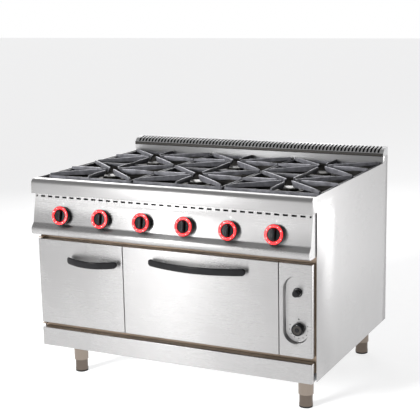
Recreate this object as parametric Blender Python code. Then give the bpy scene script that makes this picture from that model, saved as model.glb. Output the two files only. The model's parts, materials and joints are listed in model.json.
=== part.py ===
"""Six-burner commercial gas range on an oven and cabinet base.

Metres, +Z up. X runs left to right, the front faces -Y, and the origin is the
centre of the footprint at floor level. Depths are given as "set-back", the
distance behind the front face of the worktop's bullnose.
"""
import math

import bmesh
import bpy
from mathutils import Matrix, Vector

# Overall size
WIDTH = 1.200
DEPTH = 0.900
WORKTOP_Z = 0.850
DECK_Z = 0.842
FLUE_TOP_Z = 0.914
BODY_BOTTOM_Z = 0.152

# Sheet steel and the clearance left between neighbouring pieces
SHEET = 0.002
GAP = 0.0003
SIDE_INSIDE = WIDTH / 2 - SHEET - GAP

# Bullnose and worktop
BULLNOSE_BOTTOM_Z = 0.797
BULLNOSE_ROUND_DEPTH = 0.030
BULLNOSE_ROUND_HEIGHT = 0.025
SIDE_PANEL_SETBACK = 0.050
RISER_SETBACK = 0.839
GRILLE_BOTTOM_Z = 0.8785

# Control panel: a sloping fascia that ends in a rounded roll
PANEL_TOP_SETBACK, PANEL_TOP_Z = 0.0225, 0.7955
PANEL_FOOT_SETBACK, PANEL_FOOT_Z = -0.001, 0.6735
ROLL_SETBACK, ROLL_Z = -0.018, 0.645
ROLL_BOTTOM_Z = 0.6275
PANEL_HALF_WIDTH = 0.596
PANEL_TILT = math.atan2(PANEL_TOP_SETBACK - PANEL_FOOT_SETBACK, PANEL_TOP_Z - PANEL_FOOT_Z)

# Knobs and their gas taps
KNOB_PITCH = 0.1834
KNOB_COUNT = 6
KNOB_Z = 0.709
KNOB_SETBACK = PANEL_FOOT_SETBACK + (KNOB_Z - PANEL_FOOT_Z) * math.tan(PANEL_TILT)
KNOB_LENGTH = 0.032
KNOB_RADIUS = 0.038
KNOB_SKIRT_RADIUS = 0.0345
GRIP_HALF_LENGTH = 0.021
GRIP_BEVEL = 0.002
SPINDLE_RADIUS = 0.004

# The knobs reach furthest forward, so they set the front of the footprint
GRIP_LOW_EDGE = (GRIP_HALF_LENGTH - GRIP_BEVEL) * math.sin(PANEL_TILT)
REACH = KNOB_LENGTH * math.cos(PANEL_TILT) + GRIP_LOW_EDGE - KNOB_SETBACK
FRONT = -(DEPTH - REACH) / 2

# Doors, kick panel and control plate share one front face
DOOR_SETBACK = 0.020
DOOR_BACK_SETBACK = 0.050
DOOR_BOTTOM_Z = 0.250
DOOR_TOP_Z = 0.603
KICK_TOP_Z = 0.228
FACE_HALF_WIDTH = 0.592
CABINET_DOOR_X = (-FACE_HALF_WIDTH, -0.199)
OVEN_DOOR_X = (-0.197, 0.461)
CONTROL_PLATE_X = (0.4635, FACE_HALF_WIDTH)
FRAME_SETBACK = 0.054

# Hinges
CABINET_HINGE_X, CABINET_HINGE_SETBACK = -0.582, 0.030
OVEN_HINGE_SETBACK, OVEN_HINGE_Z = 0.029, 0.262
PIN_RADIUS = 0.003
OVEN_LUG_X = (-0.182, 0.446)

# Handles: centre X, centre Z, length, distance of each standoff from the centre
CABINET_HANDLE = (-0.330, 0.530, 0.230, 0.098)
OVEN_HANDLE = (0.132, 0.556, 0.410, 0.137)

# Thermostat and igniter, set in a stadium-shaped pocket of the control plate
POCKET_CENTRE = (0.528, 0.4275)
POCKET_WIDTH, POCKET_HEIGHT, POCKET_DEPTH = 0.096, 0.255, 0.020
THERMOSTAT = (0.533, 0.353)
IGNITER = (0.529, 0.491)
IGNITER_RADIUS = 0.0135

# Hob: three columns and two rows of grates over pressed wells
GRATE_PITCH_X, GRATE_PITCH_Y = 0.3965, 0.3635
GRATE_WIDTH, GRATE_DEPTH = 0.3945, 0.361
FRONT_GRATE_SETBACK = 0.2895
GRATE_TOP_Z = 0.860
WELL_WIDTH, WELL_DEPTH, WELL_FLOOR_Z = 0.372, 0.336, 0.794
BURNER_NECK_RADIUS = 0.026
VENTURI_LENGTH = 0.130
VENTURI_Z = 0.758
CAP_RADIUS = 0.038

# Oven and cabinet cavities: X range and Z range of the outside of each liner
OVEN_X, OVEN_Z, OVEN_BACK_SETBACK = (-0.160, 0.425), (0.235, 0.592), 0.780
CABINET_X, CABINET_Z, CABINET_BACK_SETBACK = (-0.586, -0.206), (0.246, 0.600), 0.820
SOLE_PLATE_Z = 0.285
RACK_Z = 0.416

# Legs
LEG_X = 0.510
LEG_SETBACKS = {"front": 0.172, "rear": 0.850}
LEG_RADIUS = 0.030
FOOT_RADIUS = 0.0265
LEG_STEP_Z = 0.053


def at(setback):
    """Y coordinate of a depth measured behind the bullnose."""
    return FRONT + setback


# ---------------------------------------------------------------- materials

FINISHES = {
    "brushed_steel": ((0.62, 0.62, 0.63), 0.32, 1.0),
    "zinc_steel": ((0.48, 0.49, 0.50), 0.45, 1.0),
    "dark_enamel": ((0.03, 0.03, 0.035), 0.35, 0.0),
    "cast_iron": ((0.05, 0.05, 0.055), 0.6, 0.6),
    "burner_alloy": ((0.55, 0.53, 0.50), 0.4, 1.0),
    "black_bakelite": ((0.012, 0.012, 0.013), 0.3, 0.0),
    "brass": ((0.60, 0.45, 0.20), 0.35, 1.0),
    "seal_fibre": ((0.10, 0.10, 0.10), 0.9, 0.0),
}


def make_materials():
    """One Principled material for each finish."""
    made = {}
    for name, (colour, roughness, metallic) in FINISHES.items():
        material = bpy.data.materials.new(name)
        material.use_nodes = True
        shader = material.node_tree.nodes["Principled BSDF"]
        shader.inputs["Base Color"].default_value = (*colour, 1.0)
        shader.inputs["Roughness"].default_value = roughness
        shader.inputs["Metallic"].default_value = metallic
        made[name] = material
    return made


# ------------------------------------------------------------ shape builders

def block(x_range, y_range, z_range):
    """A box between two corners."""
    low = Vector((x_range[0], y_range[0], z_range[0]))
    high = Vector((x_range[1], y_range[1], z_range[1]))
    size = high - low
    shape = bmesh.new()
    matrix = Matrix.Translation((low + high) / 2) @ Matrix.Diagonal((*size, 1.0))
    bmesh.ops.create_cube(shape, size=1.0, matrix=matrix)
    return shape


def rod(start, end, radius, segments=16):
    """A round bar between two points."""
    start, end = Vector(start), Vector(end)
    along = end - start
    turn = along.to_track_quat("Z", "Y").to_matrix().to_4x4()
    shape = bmesh.new()
    bmesh.ops.create_cone(
        shape, cap_ends=True, segments=segments, radius1=radius, radius2=radius,
        depth=along.length, matrix=Matrix.Translation((start + end) / 2) @ turn)
    return shape


def extruded(outline, direction):
    """A closed outline of points pushed along a direction."""
    shape = bmesh.new()
    face = shape.faces.new([shape.verts.new(point) for point in outline])
    pushed = bmesh.ops.extrude_face_region(shape, geom=[face])
    new_points = [part for part in pushed["geom"] if isinstance(part, bmesh.types.BMVert)]
    bmesh.ops.translate(shape, verts=new_points, vec=direction)
    bmesh.ops.recalc_face_normals(shape, faces=shape.faces)
    return shape


def along_x(outline, x_range):
    """A (set-back, Z) outline extruded between two X values."""
    points = [(x_range[0], at(setback), z) for setback, z in outline]
    return extruded(points, (x_range[1] - x_range[0], 0.0, 0.0))


def turned(profile, segments=20):
    """A (radius, Z) profile spun round the Z axis."""
    shape = bmesh.new()
    points = [shape.verts.new((radius, 0.0, z)) for radius, z in profile]
    edges = [shape.edges.new(pair) for pair in zip(points, points[1:])]
    if profile[0][0] > 0.0:
        edges.append(shape.edges.new((points[-1], points[0])))
    bmesh.ops.spin(
        shape, geom=points + edges, cent=(0.0, 0.0, 0.0), axis=(0.0, 0.0, 1.0),
        angle=math.tau, steps=segments, use_merge=True)
    bmesh.ops.remove_doubles(shape, verts=shape.verts, dist=1e-6)
    bmesh.ops.recalc_face_normals(shape, faces=shape.faces)
    return shape


def pipe(points, radius):
    """A bent pipe through a list of points, with closed ends."""
    curve = bpy.data.curves.new("pipe_path", "CURVE")
    curve.dimensions = "3D"
    curve.bevel_depth = radius
    curve.bevel_resolution = 1
    curve.use_fill_caps = True
    path = curve.splines.new("POLY")
    path.points.add(len(points) - 1)
    for spot, point in zip(path.points, points):
        spot.co = (*point, 1.0)
    holder = bpy.data.objects.new("pipe_path", curve)
    bpy.context.collection.objects.link(holder)
    shape = bmesh.new()
    view = bpy.context.evaluated_depsgraph_get()
    shape.from_mesh(bpy.data.meshes.new_from_object(holder.evaluated_get(view)))
    bpy.data.objects.remove(holder)
    bmesh.ops.remove_doubles(shape, verts=shape.verts, dist=1e-6)
    bmesh.ops.recalc_face_normals(shape, faces=shape.faces)
    return shape


def moved(shape, matrix):
    """The same shape, carried by a matrix."""
    bmesh.ops.transform(shape, matrix=matrix, verts=shape.verts)
    return shape


def together(shapes):
    """Several shapes in one mesh, for use as a single cutter or addition."""
    result = bmesh.new()
    for shape in shapes:
        mesh = bpy.data.meshes.new("loose")
        shape.to_mesh(mesh)
        shape.free()
        result.from_mesh(mesh)
        bpy.data.meshes.remove(mesh)
    return result


def combined(base, other, operation):
    """Boolean of two shapes: UNION or DIFFERENCE, with the exact solver."""
    holders = []
    for shape in (base, other):
        mesh = bpy.data.meshes.new("working")
        shape.to_mesh(mesh)
        shape.free()
        holder = bpy.data.objects.new("working", mesh)
        bpy.context.collection.objects.link(holder)
        holders.append(holder)
    modifier = holders[0].modifiers.new("join", "BOOLEAN")
    modifier.operation = operation
    modifier.object = holders[1]
    view = bpy.context.evaluated_depsgraph_get()
    result = bmesh.new()
    result.from_mesh(bpy.data.meshes.new_from_object(holders[0].evaluated_get(view)))
    for holder in holders:
        bpy.data.objects.remove(holder)
    bmesh.ops.dissolve_limit(
        result, angle_limit=math.radians(0.05), verts=result.verts, edges=result.edges)
    return result


def cut(base, *cutters):
    """The base with every cutter taken away."""
    return combined(base, together(cutters), "DIFFERENCE")


def joined(base, *additions):
    """The base with each addition fused on in turn."""
    for addition in additions:
        base = combined(base, addition, "UNION")
    return base


def tray(x_range, setbacks, z_range, open_side="back", wall=SHEET):
    """A folded sheet box with one side left open."""
    y_range = (at(setbacks[0]), at(setbacks[1]))
    inner_y = [y_range[0] + wall, y_range[1] - wall]
    if open_side == "back":
        inner_y[1] = y_range[1] + wall
    else:
        inner_y[0] = y_range[0] - wall
    inside = block(
        (x_range[0] + wall, x_range[1] - wall), inner_y, (z_range[0] + wall, z_range[1] - wall))
    return cut(block(x_range, y_range, z_range), inside)


def place(name, shape, finish, location=(0.0, 0.0, 0.0), rotation=(0.0, 0.0, 0.0), smooth=False):
    """Turn a shape into a named object with its finish."""
    mesh = bpy.data.meshes.new(name)
    shape.to_mesh(mesh)
    shape.free()
    if smooth:
        mesh.shade_smooth()
        mesh.set_sharp_from_angle(angle=math.radians(35))
    mesh.materials.append(MATERIALS[finish])
    item = bpy.data.objects.new(name, mesh)
    bpy.context.collection.objects.link(item)
    item.location = location
    item.rotation_euler = rotation
    return item


def place_copy(name, original, location):
    """Another object that shares the original's mesh."""
    item = bpy.data.objects.new(name, original.data)
    bpy.context.collection.objects.link(item)
    item.location = location
    item.rotation_euler = original.rotation_euler
    return item


# ------------------------------------------------------------------ outlines

def bullnose_arc(inset, steps=6):
    """Quarter ellipse from the bullnose's face up to the worktop."""
    across = BULLNOSE_ROUND_DEPTH - inset
    up = BULLNOSE_ROUND_HEIGHT - inset
    centre_z = WORKTOP_Z - BULLNOSE_ROUND_HEIGHT
    angles = [math.pi / 2 * step / steps for step in range(steps + 1)]
    return [
        (BULLNOSE_ROUND_DEPTH - across * math.cos(angle), centre_z + up * math.sin(angle))
        for angle in angles]


def roll_curve(inset, steps=6):
    """Rounded roll below the fascia: foot of the slope, front of the roll, underside."""
    radius = ROLL_Z - ROLL_BOTTOM_Z
    angles = [math.radians(40) + math.radians(140) * step / steps for step in range(steps + 1)]
    points = [
        (ROLL_SETBACK + radius - (radius - inset) * math.sin(angle),
         ROLL_Z + (radius - inset) * math.cos(angle))
        for angle in angles]
    return [(PANEL_FOOT_SETBACK + inset, PANEL_FOOT_Z)] + points


def flue_outline(inset):
    """Cross-section of the flue grille: band, sloping front and nearly flat top."""
    top_back = FLUE_TOP_Z - inset
    return [
        (RISER_SETBACK - 0.003 + inset, 0.890),
        (RISER_SETBACK + 0.014 + inset * 0.6, 0.906 - inset),
        (DEPTH - inset, top_back)]


# --------------------------------------------------------------- outer shell

def build_side_panels():
    """Left and right skins with the bullnose's end shape."""
    outline = [(SIDE_PANEL_SETBACK, BODY_BOTTOM_Z), (SIDE_PANEL_SETBACK, BULLNOSE_BOTTOM_Z),
               (0.0, BULLNOSE_BOTTOM_Z)]
    outline += bullnose_arc(0.0)
    outline += [(RISER_SETBACK, WORKTOP_Z), (RISER_SETBACK, GRILLE_BOTTOM_Z - GAP),
                (DEPTH, GRILLE_BOTTOM_Z - GAP), (DEPTH, BODY_BOTTOM_Z)]
    outer = WIDTH / 2
    for side, x_range in (("left", (-outer, SHEET - outer)), ("right", (outer - SHEET, outer))):
        place(f"{side}_side_panel", along_x(outline, x_range), "brushed_steel")


def grate_centres():
    """(number, x, set-back) for each grate, front row first, left to right."""
    number = 0
    for row in range(2):
        for column in range(3):
            number += 1
            setback = FRONT_GRATE_SETBACK + row * GRATE_PITCH_Y
            yield number, (column - 1) * GRATE_PITCH_X, setback


def build_worktop():
    """One pressed sheet: bullnose, deck and six wells with burner holes."""
    deck_back = RISER_SETBACK - GAP
    outline = [(0.045, BULLNOSE_BOTTOM_Z), (0.0, BULLNOSE_BOTTOM_Z)]
    outline += bullnose_arc(0.0)
    outline += [(0.045, WORKTOP_Z), (0.058, DECK_Z), (deck_back, DECK_Z), (deck_back, DECK_Z - SHEET),
                (0.057, DECK_Z - SHEET), (0.044, WORKTOP_Z - SHEET)]
    outline += reversed(bullnose_arc(SHEET))
    outline += [(SHEET, BULLNOSE_BOTTOM_Z + SHEET), (0.045, BULLNOSE_BOTTOM_Z + SHEET)]
    deck = along_x(outline, (-SIDE_INSIDE, SIDE_INSIDE))
    pans, hollows, holes = [], [], []
    for _, x, setback in grate_centres():
        half_x, half_y = WELL_WIDTH / 2, WELL_DEPTH / 2
        y = at(setback)
        pans.append(block(
            (x - half_x - SHEET, x + half_x + SHEET), (y - half_y - SHEET, y + half_y + SHEET),
            (WELL_FLOOR_Z - SHEET, DECK_Z - SHEET / 2)))
        hollows.append(block(
            (x - half_x, x + half_x), (y - half_y, y + half_y), (WELL_FLOOR_Z, WORKTOP_Z + SHEET)))
        holes.append(rod(
            (x, y, WELL_FLOOR_Z - 2 * SHEET), (x, y, WELL_FLOOR_Z + SHEET),
            BURNER_NECK_RADIUS + 0.004))
    deck = combined(deck, together(pans), "UNION")
    deck = cut(deck, *hollows)
    place("worktop", cut(deck, *holes), "brushed_steel")


def knob_positions():
    """(number, x) for each knob, left to right."""
    middle = (KNOB_COUNT - 1) / 2
    return [(index + 1, (index - middle) * KNOB_PITCH) for index in range(KNOB_COUNT)]


def on_knob_axis(x, distance):
    """A point on a knob's axis, measured outwards from the fascia."""
    return (x, at(KNOB_SETBACK) - distance * math.cos(PANEL_TILT),
            KNOB_Z + distance * math.sin(PANEL_TILT))


def build_control_panel():
    """Sloping fascia with a vent row, spindle holes, a roll and closed ends."""
    def outline(inset, back):
        return ([(PANEL_TOP_SETBACK + inset, PANEL_TOP_Z - inset)] + roll_curve(inset)
                + [(back, ROLL_BOTTOM_Z + inset), (back, PANEL_TOP_Z - inset)])
    panel = along_x(outline(0.0, DOOR_BACK_SETBACK), (-PANEL_HALF_WIDTH, PANEL_HALF_WIDTH))
    inner_half = PANEL_HALF_WIDTH - SHEET
    panel = cut(panel, along_x(outline(SHEET, DOOR_BACK_SETBACK + SHEET), (-inner_half, inner_half)))
    vent_z, vent_pitch, vent_count = 0.780, 0.0338, 34
    y_range = (at(0.0), at(0.035))
    vents = []
    for index in range(vent_count):
        x = (index - (vent_count - 1) / 2) * vent_pitch
        vents.append(block((x - 0.010, x + 0.010), y_range, (vent_z - 0.0025, vent_z + 0.0025)))
    for x in (-0.587, 0.587):
        vents.append(block((x - 0.004, x + 0.004), y_range, (vent_z - 0.005, vent_z + 0.005)))
    spindles = [
        rod(on_knob_axis(x, 0.01), on_knob_axis(x, -0.01), SPINDLE_RADIUS + 0.002, 12)
        for _, x in knob_positions()]
    place("control_panel", cut(panel, *vents, *spindles), "brushed_steel")


def build_front_frame():
    """Face frame behind the doors, with vent holes and hinge lugs."""
    y_range = (at(FRAME_SETBACK), at(FRAME_SETBACK + SHEET))
    frame = block((-SIDE_INSIDE, SIDE_INSIDE), y_range, (0.186, 0.640))
    through = (y_range[0] - SHEET, y_range[1] + SHEET)
    openings = [
        block((-0.575, -0.215), through, (0.262, 0.590)),
        block((-0.150, 0.415), through, (0.288, 0.585)),
        block((0.472, 0.588), through, (0.270, 0.590))]
    vents = [
        rod((x, through[0], 0.616), (x, through[1], 0.616), 0.004, 8)
        for x in (0.125 * step for step in range(-4, 5))]
    frame = cut(frame, *openings, *vents)
    lug_y = (at(0.022), at(FRAME_SETBACK + SHEET / 2))
    for z in (0.2435, 0.6065):
        frame = joined(frame, block((-0.592, -0.572), lug_y, (z, z + 0.003)))
    half = 0.0025
    y = at(OVEN_HINGE_SETBACK)
    for x in OVEN_LUG_X:
        arm = block((x - half, x + half), (y, lug_y[1]), (OVEN_HINGE_Z - 0.005, OVEN_HINGE_Z + 0.005))
        boss = rod((x - half, y, OVEN_HINGE_Z), (x + half, y, OVEN_HINGE_Z), 0.0062)
        frame = joined(frame, arm, boss)
    bores = [
        rod((x - 0.005, y, OVEN_HINGE_Z), (x + 0.005, y, OVEN_HINGE_Z), PIN_RADIUS + GAP, 12)
        for x in OVEN_LUG_X]
    place("front_frame", cut(frame, *bores), "zinc_steel")


def build_kick_panel():
    """Folded plinth between the doors and the legs."""
    shape = tray(
        (-FACE_HALF_WIDTH, FACE_HALF_WIDTH), (DOOR_SETBACK, DOOR_BACK_SETBACK),
        (BODY_BOTTOM_Z, KICK_TOP_Z))
    place("kick_panel", shape, "brushed_steel")


def stadium(width, height, setbacks, steps=10):
    """Upright stadium block centred on the control plate's pocket."""
    radius = width / 2
    straight = height / 2 - radius
    x, z = POCKET_CENTRE
    outline = []
    for end in (1, -1):
        for step in range(steps + 1):
            angle = math.pi * step / steps + (0.0 if end == 1 else math.pi)
            outline.append((
                x + radius * math.cos(angle), at(setbacks[0]),
                z + end * straight + radius * math.sin(angle)))
    return extruded(outline, (0.0, setbacks[1] - setbacks[0], 0.0))


def build_control_plate():
    """Oven control plate with a pressed pocket, button hole and spindle hole."""
    plate = tray(
        CONTROL_PLATE_X, (DOOR_SETBACK, DOOR_BACK_SETBACK), (DOOR_BOTTOM_Z, DOOR_TOP_Z))
    floor = DOOR_SETBACK + POCKET_DEPTH
    plate = joined(plate, stadium(
        POCKET_WIDTH + 2 * SHEET, POCKET_HEIGHT + 2 * SHEET, (DOOR_SETBACK + SHEET / 2, floor + SHEET)))
    plate = cut(plate, stadium(POCKET_WIDTH, POCKET_HEIGHT, (DOOR_SETBACK - SHEET, floor)))
    holes = []
    for (x, z), radius in ((THERMOSTAT, 0.005), (IGNITER, IGNITER_RADIUS + 0.001)):
        holes.append(rod((x, at(floor - SHEET), z), (x, at(floor + 2 * SHEET), z), radius))
    place("control_plate", cut(plate, *holes), "brushed_steel")


def build_flue():
    """Flue duct behind the deck and the slotted grille on top of it."""
    outer_y = (at(RISER_SETBACK + GAP), at(0.8975))
    z_range = (0.620, GRILLE_BOTTOM_Z - GAP)
    duct = block((-SIDE_INSIDE, SIDE_INSIDE), outer_y, z_range)
    bore = block(
        (-SIDE_INSIDE + SHEET, SIDE_INSIDE - SHEET), (outer_y[0] + SHEET, outer_y[1] - SHEET),
        (z_range[0] - SHEET, z_range[1] + SHEET))
    place("flue_duct", cut(duct, bore), "brushed_steel")

    half = WIDTH / 2
    band = RISER_SETBACK - 0.003
    shell = [(band, GRILLE_BOTTOM_Z)] + flue_outline(0.0) + [(DEPTH, GRILLE_BOTTOM_Z)]
    hollow = ([(band + SHEET, GRILLE_BOTTOM_Z - SHEET)] + flue_outline(SHEET)
              + [(DEPTH - SHEET, GRILLE_BOTTOM_Z - SHEET)])
    grille = cut(
        along_x(shell, (-half, half)), along_x(hollow, (SHEET - half, half - SHEET)))
    pitch, count, slot_half = 0.036, 32, 0.009
    slots = []
    for index in range(count):
        x = (index - (count - 1) / 2) * pitch
        slots.append(block(
            (x - slot_half, x + slot_half), (at(RISER_SETBACK - 0.01), at(DEPTH - 0.010)),
            (0.893, FLUE_TOP_Z + 0.005)))
    place("flue_grille", cut(grille, *slots), "brushed_steel")


def build_rear_panel():
    """Back sheet with a vent row and the hole for the gas inlet."""
    y_range = (at(0.878), at(0.880))
    panel = block((-SIDE_INSIDE, SIDE_INSIDE), y_range, (0.155, 0.615))
    through = (y_range[0] - SHEET, y_range[1] + SHEET)
    inlet_x, inlet_z = GAS_INLET
    holes = [rod((inlet_x, through[0], inlet_z), (inlet_x, through[1], inlet_z), 0.014)]
    for index in range(12):
        x = (index - 5.5) * 0.075
        holes.append(block((x - 0.025, x + 0.025), through, (0.230, 0.238)))
    place("rear_panel", cut(panel, *holes), "zinc_steel")


def build_base_frame():
    """Welded ring of square tube with a plate over each leg."""
    ring = block((-0.590, 0.590), (at(0.056), at(0.876)), (0.1533, 0.1833))
    ring = cut(ring, block((-0.560, 0.560), (at(0.086), at(0.846)), (0.150, 0.190)))
    for side in (-1, 1):
        x_range = sorted((side * 0.455, side * 0.570))
        for setbacks in ((0.075, 0.225), (0.795, 0.860)):
            plate = block(x_range, (at(setbacks[0]), at(setbacks[1])), (0.1533, 0.1573))
            ring = joined(ring, plate)
    place("base_frame", ring, "zinc_steel")


# ------------------------------------------------------------- oven, cabinet

def build_oven():
    """Oven liner with ledges, sole plate, rack, tube burner and door seal."""
    liner = tray(
        OVEN_X, (FRAME_SETBACK + SHEET + GAP, OVEN_BACK_SETBACK), OVEN_Z, open_side="front")
    inside_x = (OVEN_X[0] + SHEET, OVEN_X[1] - SHEET)
    ledge_y = (at(0.100), at(0.740))
    for ledge_top in (SOLE_PLATE_Z, RACK_Z):
        z_range = (ledge_top - 0.004, ledge_top)
        left = block((inside_x[0] - SHEET / 2, inside_x[0] + 0.012), ledge_y, z_range)
        right = block((inside_x[1] - 0.012, inside_x[1] + SHEET / 2), ledge_y, z_range)
        liner = joined(liner, left, right)
    outlet = block((0.03, 0.235), (at(0.770), at(0.790)), (0.550, 0.580))
    place("oven_liner", cut(liner, outlet), "dark_enamel")

    x_range = (inside_x[0] + 0.001, inside_x[1] - 0.001)
    sole = block(x_range, (at(0.062), at(0.770)), (SOLE_PLATE_Z + GAP, SOLE_PLATE_Z + 0.003))
    slots = []
    for x in (-0.120, 0.385):
        for index in range(5):
            setback = 0.12 + 0.12 * index
            slots.append(block((x - 0.010, x + 0.010), (at(setback), at(setback + 0.08)), (0.28, 0.30)))
    place("oven_sole_plate", cut(sole, *slots), "dark_enamel")

    bars, bar = 11, 0.005
    y_low, y_high = at(0.075), at(0.745)
    rack = block(x_range, (y_low, y_high), (RACK_Z + GAP, RACK_Z + 0.006))
    pitch = (x_range[1] - x_range[0] - bar) / (bars - 1)
    middle = (y_low + y_high) / 2
    openings = []
    for index in range(bars - 1):
        x = x_range[0] + bar + index * pitch
        for span in ((y_low + bar, middle - bar / 2), (middle + bar / 2, y_high - bar)):
            openings.append(block((x, x + pitch - bar), span, (RACK_Z - 0.01, RACK_Z + 0.02)))
    place("oven_rack", cut(rack, *openings), "zinc_steel")

    z = 0.261
    path = [(0.030, at(0.70), z), (0.030, at(0.15), z), (0.050, at(0.13), z),
            (0.215, at(0.13), z), (0.235, at(0.15), z), (0.235, at(0.70), z)]
    place("oven_burner", pipe(path, 0.011), "zinc_steel", smooth=True)

    y_range = (at(DOOR_BACK_SETBACK + GAP), at(FRAME_SETBACK - GAP))
    seal = block((-0.178, 0.443), y_range, (0.276, 0.597))
    window = block((-0.168, 0.433), (y_range[0] - SHEET, y_range[1] + SHEET), (0.286, 0.587))
    place("oven_door_seal", cut(seal, window), "seal_fibre")


def build_cabinet():
    """Open-fronted steel lining of the storage cabinet."""
    liner = tray(
        CABINET_X, (FRAME_SETBACK + SHEET + GAP, CABINET_BACK_SETBACK), CABINET_Z,
        open_side="front")
    place("cabinet_liner", liner, "zinc_steel")


# --------------------------------------------------------------------- doors

def build_handle(name, handle, origin):
    """Bowed bar with rounded edges on two round standoffs."""
    centre_x, centre_z, length, standoff = handle
    thickness, height, steps = 0.010, 0.027, 12
    end_setback, middle_setback = 0.004, -0.024

    def bow(offset):
        """Set-back of the bar's middle line, a parabola along its length."""
        return middle_setback + (end_setback - middle_setback) * (2 * offset / length) ** 2

    offsets = [length * (step / steps - 0.5) for step in range(steps + 1)]
    outline = []
    for sign, row in ((-1, offsets), (1, reversed(offsets))):
        for offset in row:
            outline.append((
                centre_x + offset, at(bow(offset) + sign * thickness / 2), centre_z - height / 2))
    bar = extruded(outline, (0.0, 0.0, height))
    long_edges = [
        edge for edge in bar.edges
        if abs(edge.verts[0].co.z - edge.verts[1].co.z) < 1e-6 or edge.calc_face_angle(0) > 1.0]
    bmesh.ops.bevel(
        bar, geom=long_edges, offset=0.003, segments=2, profile=0.5, affect="EDGES",
        clamp_overlap=True)
    for side in (-1, 1):
        x = centre_x + side * standoff
        start = (x, at(bow(standoff)), centre_z)
        bar = joined(bar, rod(start, (x, at(DOOR_SETBACK - GAP), centre_z), 0.007, 12))
    to_joint = Matrix.Translation(-Vector(origin))
    place(name, moved(bar, to_joint), "black_bakelite", origin, smooth=True)


def build_cabinet_door():
    """Folded door pan that swings on an upright pin at its left edge."""
    origin = (CABINET_HINGE_X, at(CABINET_HINGE_SETBACK), DOOR_BOTTOM_Z)
    pan = tray(CABINET_DOOR_X, (DOOR_SETBACK, DOOR_BACK_SETBACK), (DOOR_BOTTOM_Z, DOOR_TOP_Z))
    bores = [
        rod((origin[0], origin[1], z - 0.004), (origin[0], origin[1], z + 0.004), PIN_RADIUS + 0.0005)
        for z in (DOOR_BOTTOM_Z + SHEET / 2, DOOR_TOP_Z - SHEET / 2)]
    pan = cut(pan, *bores)
    place("cabinet_door", moved(pan, Matrix.Translation(-Vector(origin))), "brushed_steel", origin)
    build_handle("cabinet_door_handle", CABINET_HANDLE, origin)
    pin = rod(
        (origin[0], origin[1], 0.2465 + GAP), (origin[0], origin[1], 0.6065 - GAP), PIN_RADIUS, 12)
    place("cabinet_hinge_pin", pin, "zinc_steel", smooth=True)


def build_oven_door():
    """Drop-down door: outer pan, inner panel with a raised plug, and handle."""
    origin = (sum(OVEN_DOOR_X) / 2, at(OVEN_HINGE_SETBACK), OVEN_HINGE_Z)
    to_joint = Matrix.Translation(-Vector(origin))
    pan = tray(OVEN_DOOR_X, (DOOR_SETBACK, DOOR_BACK_SETBACK), (DOOR_BOTTOM_Z, DOOR_TOP_Z))
    cutters = [
        block((x - 0.005, x + 0.005), (at(DOOR_SETBACK + SHEET), at(0.052)), (0.249, 0.253))
        for x in OVEN_LUG_X]
    for x in OVEN_DOOR_X:
        cutters.append(rod(
            (x - 0.005, origin[1], origin[2]), (x + 0.005, origin[1], origin[2]), PIN_RADIUS + 0.0005))
    place("oven_door", moved(cut(pan, *cutters), to_joint), "brushed_steel", origin)

    inset = SHEET + GAP
    x_range = (OVEN_DOOR_X[0] + inset, OVEN_DOOR_X[1] - inset)
    panel = block(x_range, (at(0.045), at(0.0495)), (0.275, DOOR_TOP_Z - inset))
    plug = block((-0.143, 0.408), (at(0.048), at(0.0575)), (0.300, 0.578))
    place("oven_door_liner", moved(joined(panel, plug), to_joint), "dark_enamel", origin)
    build_handle("oven_door_handle", OVEN_HANDLE, origin)

    ends = (OVEN_DOOR_X[0] + GAP, OVEN_DOOR_X[1] - GAP)
    pin = rod((ends[0], origin[1], origin[2]), (ends[1], origin[1], origin[2]), PIN_RADIUS, 12)
    place("oven_hinge_rod", pin, "zinc_steel", smooth=True)


# ------------------------------------------------------------------ controls

def build_knobs():
    """Knobs with a tapered skirt, a dished face, a grip bar and a spindle bore."""
    profile = [
        (0.0, 0.012), (0.0045, 0.012), (0.0045, 0.001), (KNOB_SKIRT_RADIUS, 0.001),
        (0.036, 0.006), (KNOB_RADIUS, 0.018), (0.036, 0.022), (0.027, 0.023),
        (0.0255, 0.018), (0.0, 0.018)]
    grip = block((-0.0075, 0.0075), (-GRIP_HALF_LENGTH, GRIP_HALF_LENGTH), (0.015, KNOB_LENGTH))
    sides = [edge for edge in grip.edges if max(end.co.z for end in edge.verts) > 0.02]
    bmesh.ops.bevel(grip, geom=sides, offset=GRIP_BEVEL, segments=1, affect="EDGES")
    shape = joined(turned(profile), grip)
    rotation = (math.pi / 2 - PANEL_TILT, 0.0, 0.0)
    first = None
    for number, x in knob_positions():
        location = on_knob_axis(x, 0.0)
        if first is None:
            first = place(f"knob_{number}", shape, "black_bakelite", location, rotation, smooth=True)
        else:
            place_copy(f"knob_{number}", first, location)


def build_oven_controls():
    """Thermostat knob and igniter button in the control plate's pocket."""
    floor = DOOR_SETBACK + POCKET_DEPTH
    facing_front = (math.pi / 2, 0.0, 0.0)
    profile = [
        (0.0, 0.014), (0.0035, 0.014), (0.0035, GAP), (0.0245, GAP), (0.0245, 0.008),
        (0.021, 0.020), (0.018, 0.022), (0.015, 0.019), (0.0, 0.019)]
    x, z = THERMOSTAT
    place("thermostat_knob", turned(profile), "black_bakelite", (x, at(floor), z), facing_front, True)
    reach, behind = 0.028, 0.008
    profile = [
        (0.0, -behind), (IGNITER_RADIUS, -behind), (IGNITER_RADIUS, reach - 0.003),
        (IGNITER_RADIUS - 0.003, reach), (0.0, reach)]
    x, z = IGNITER
    place("igniter_button", turned(profile, 16), "black_bakelite", (x, at(floor), z), facing_front, True)


# ----------------------------------------------------------------- gas train

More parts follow.
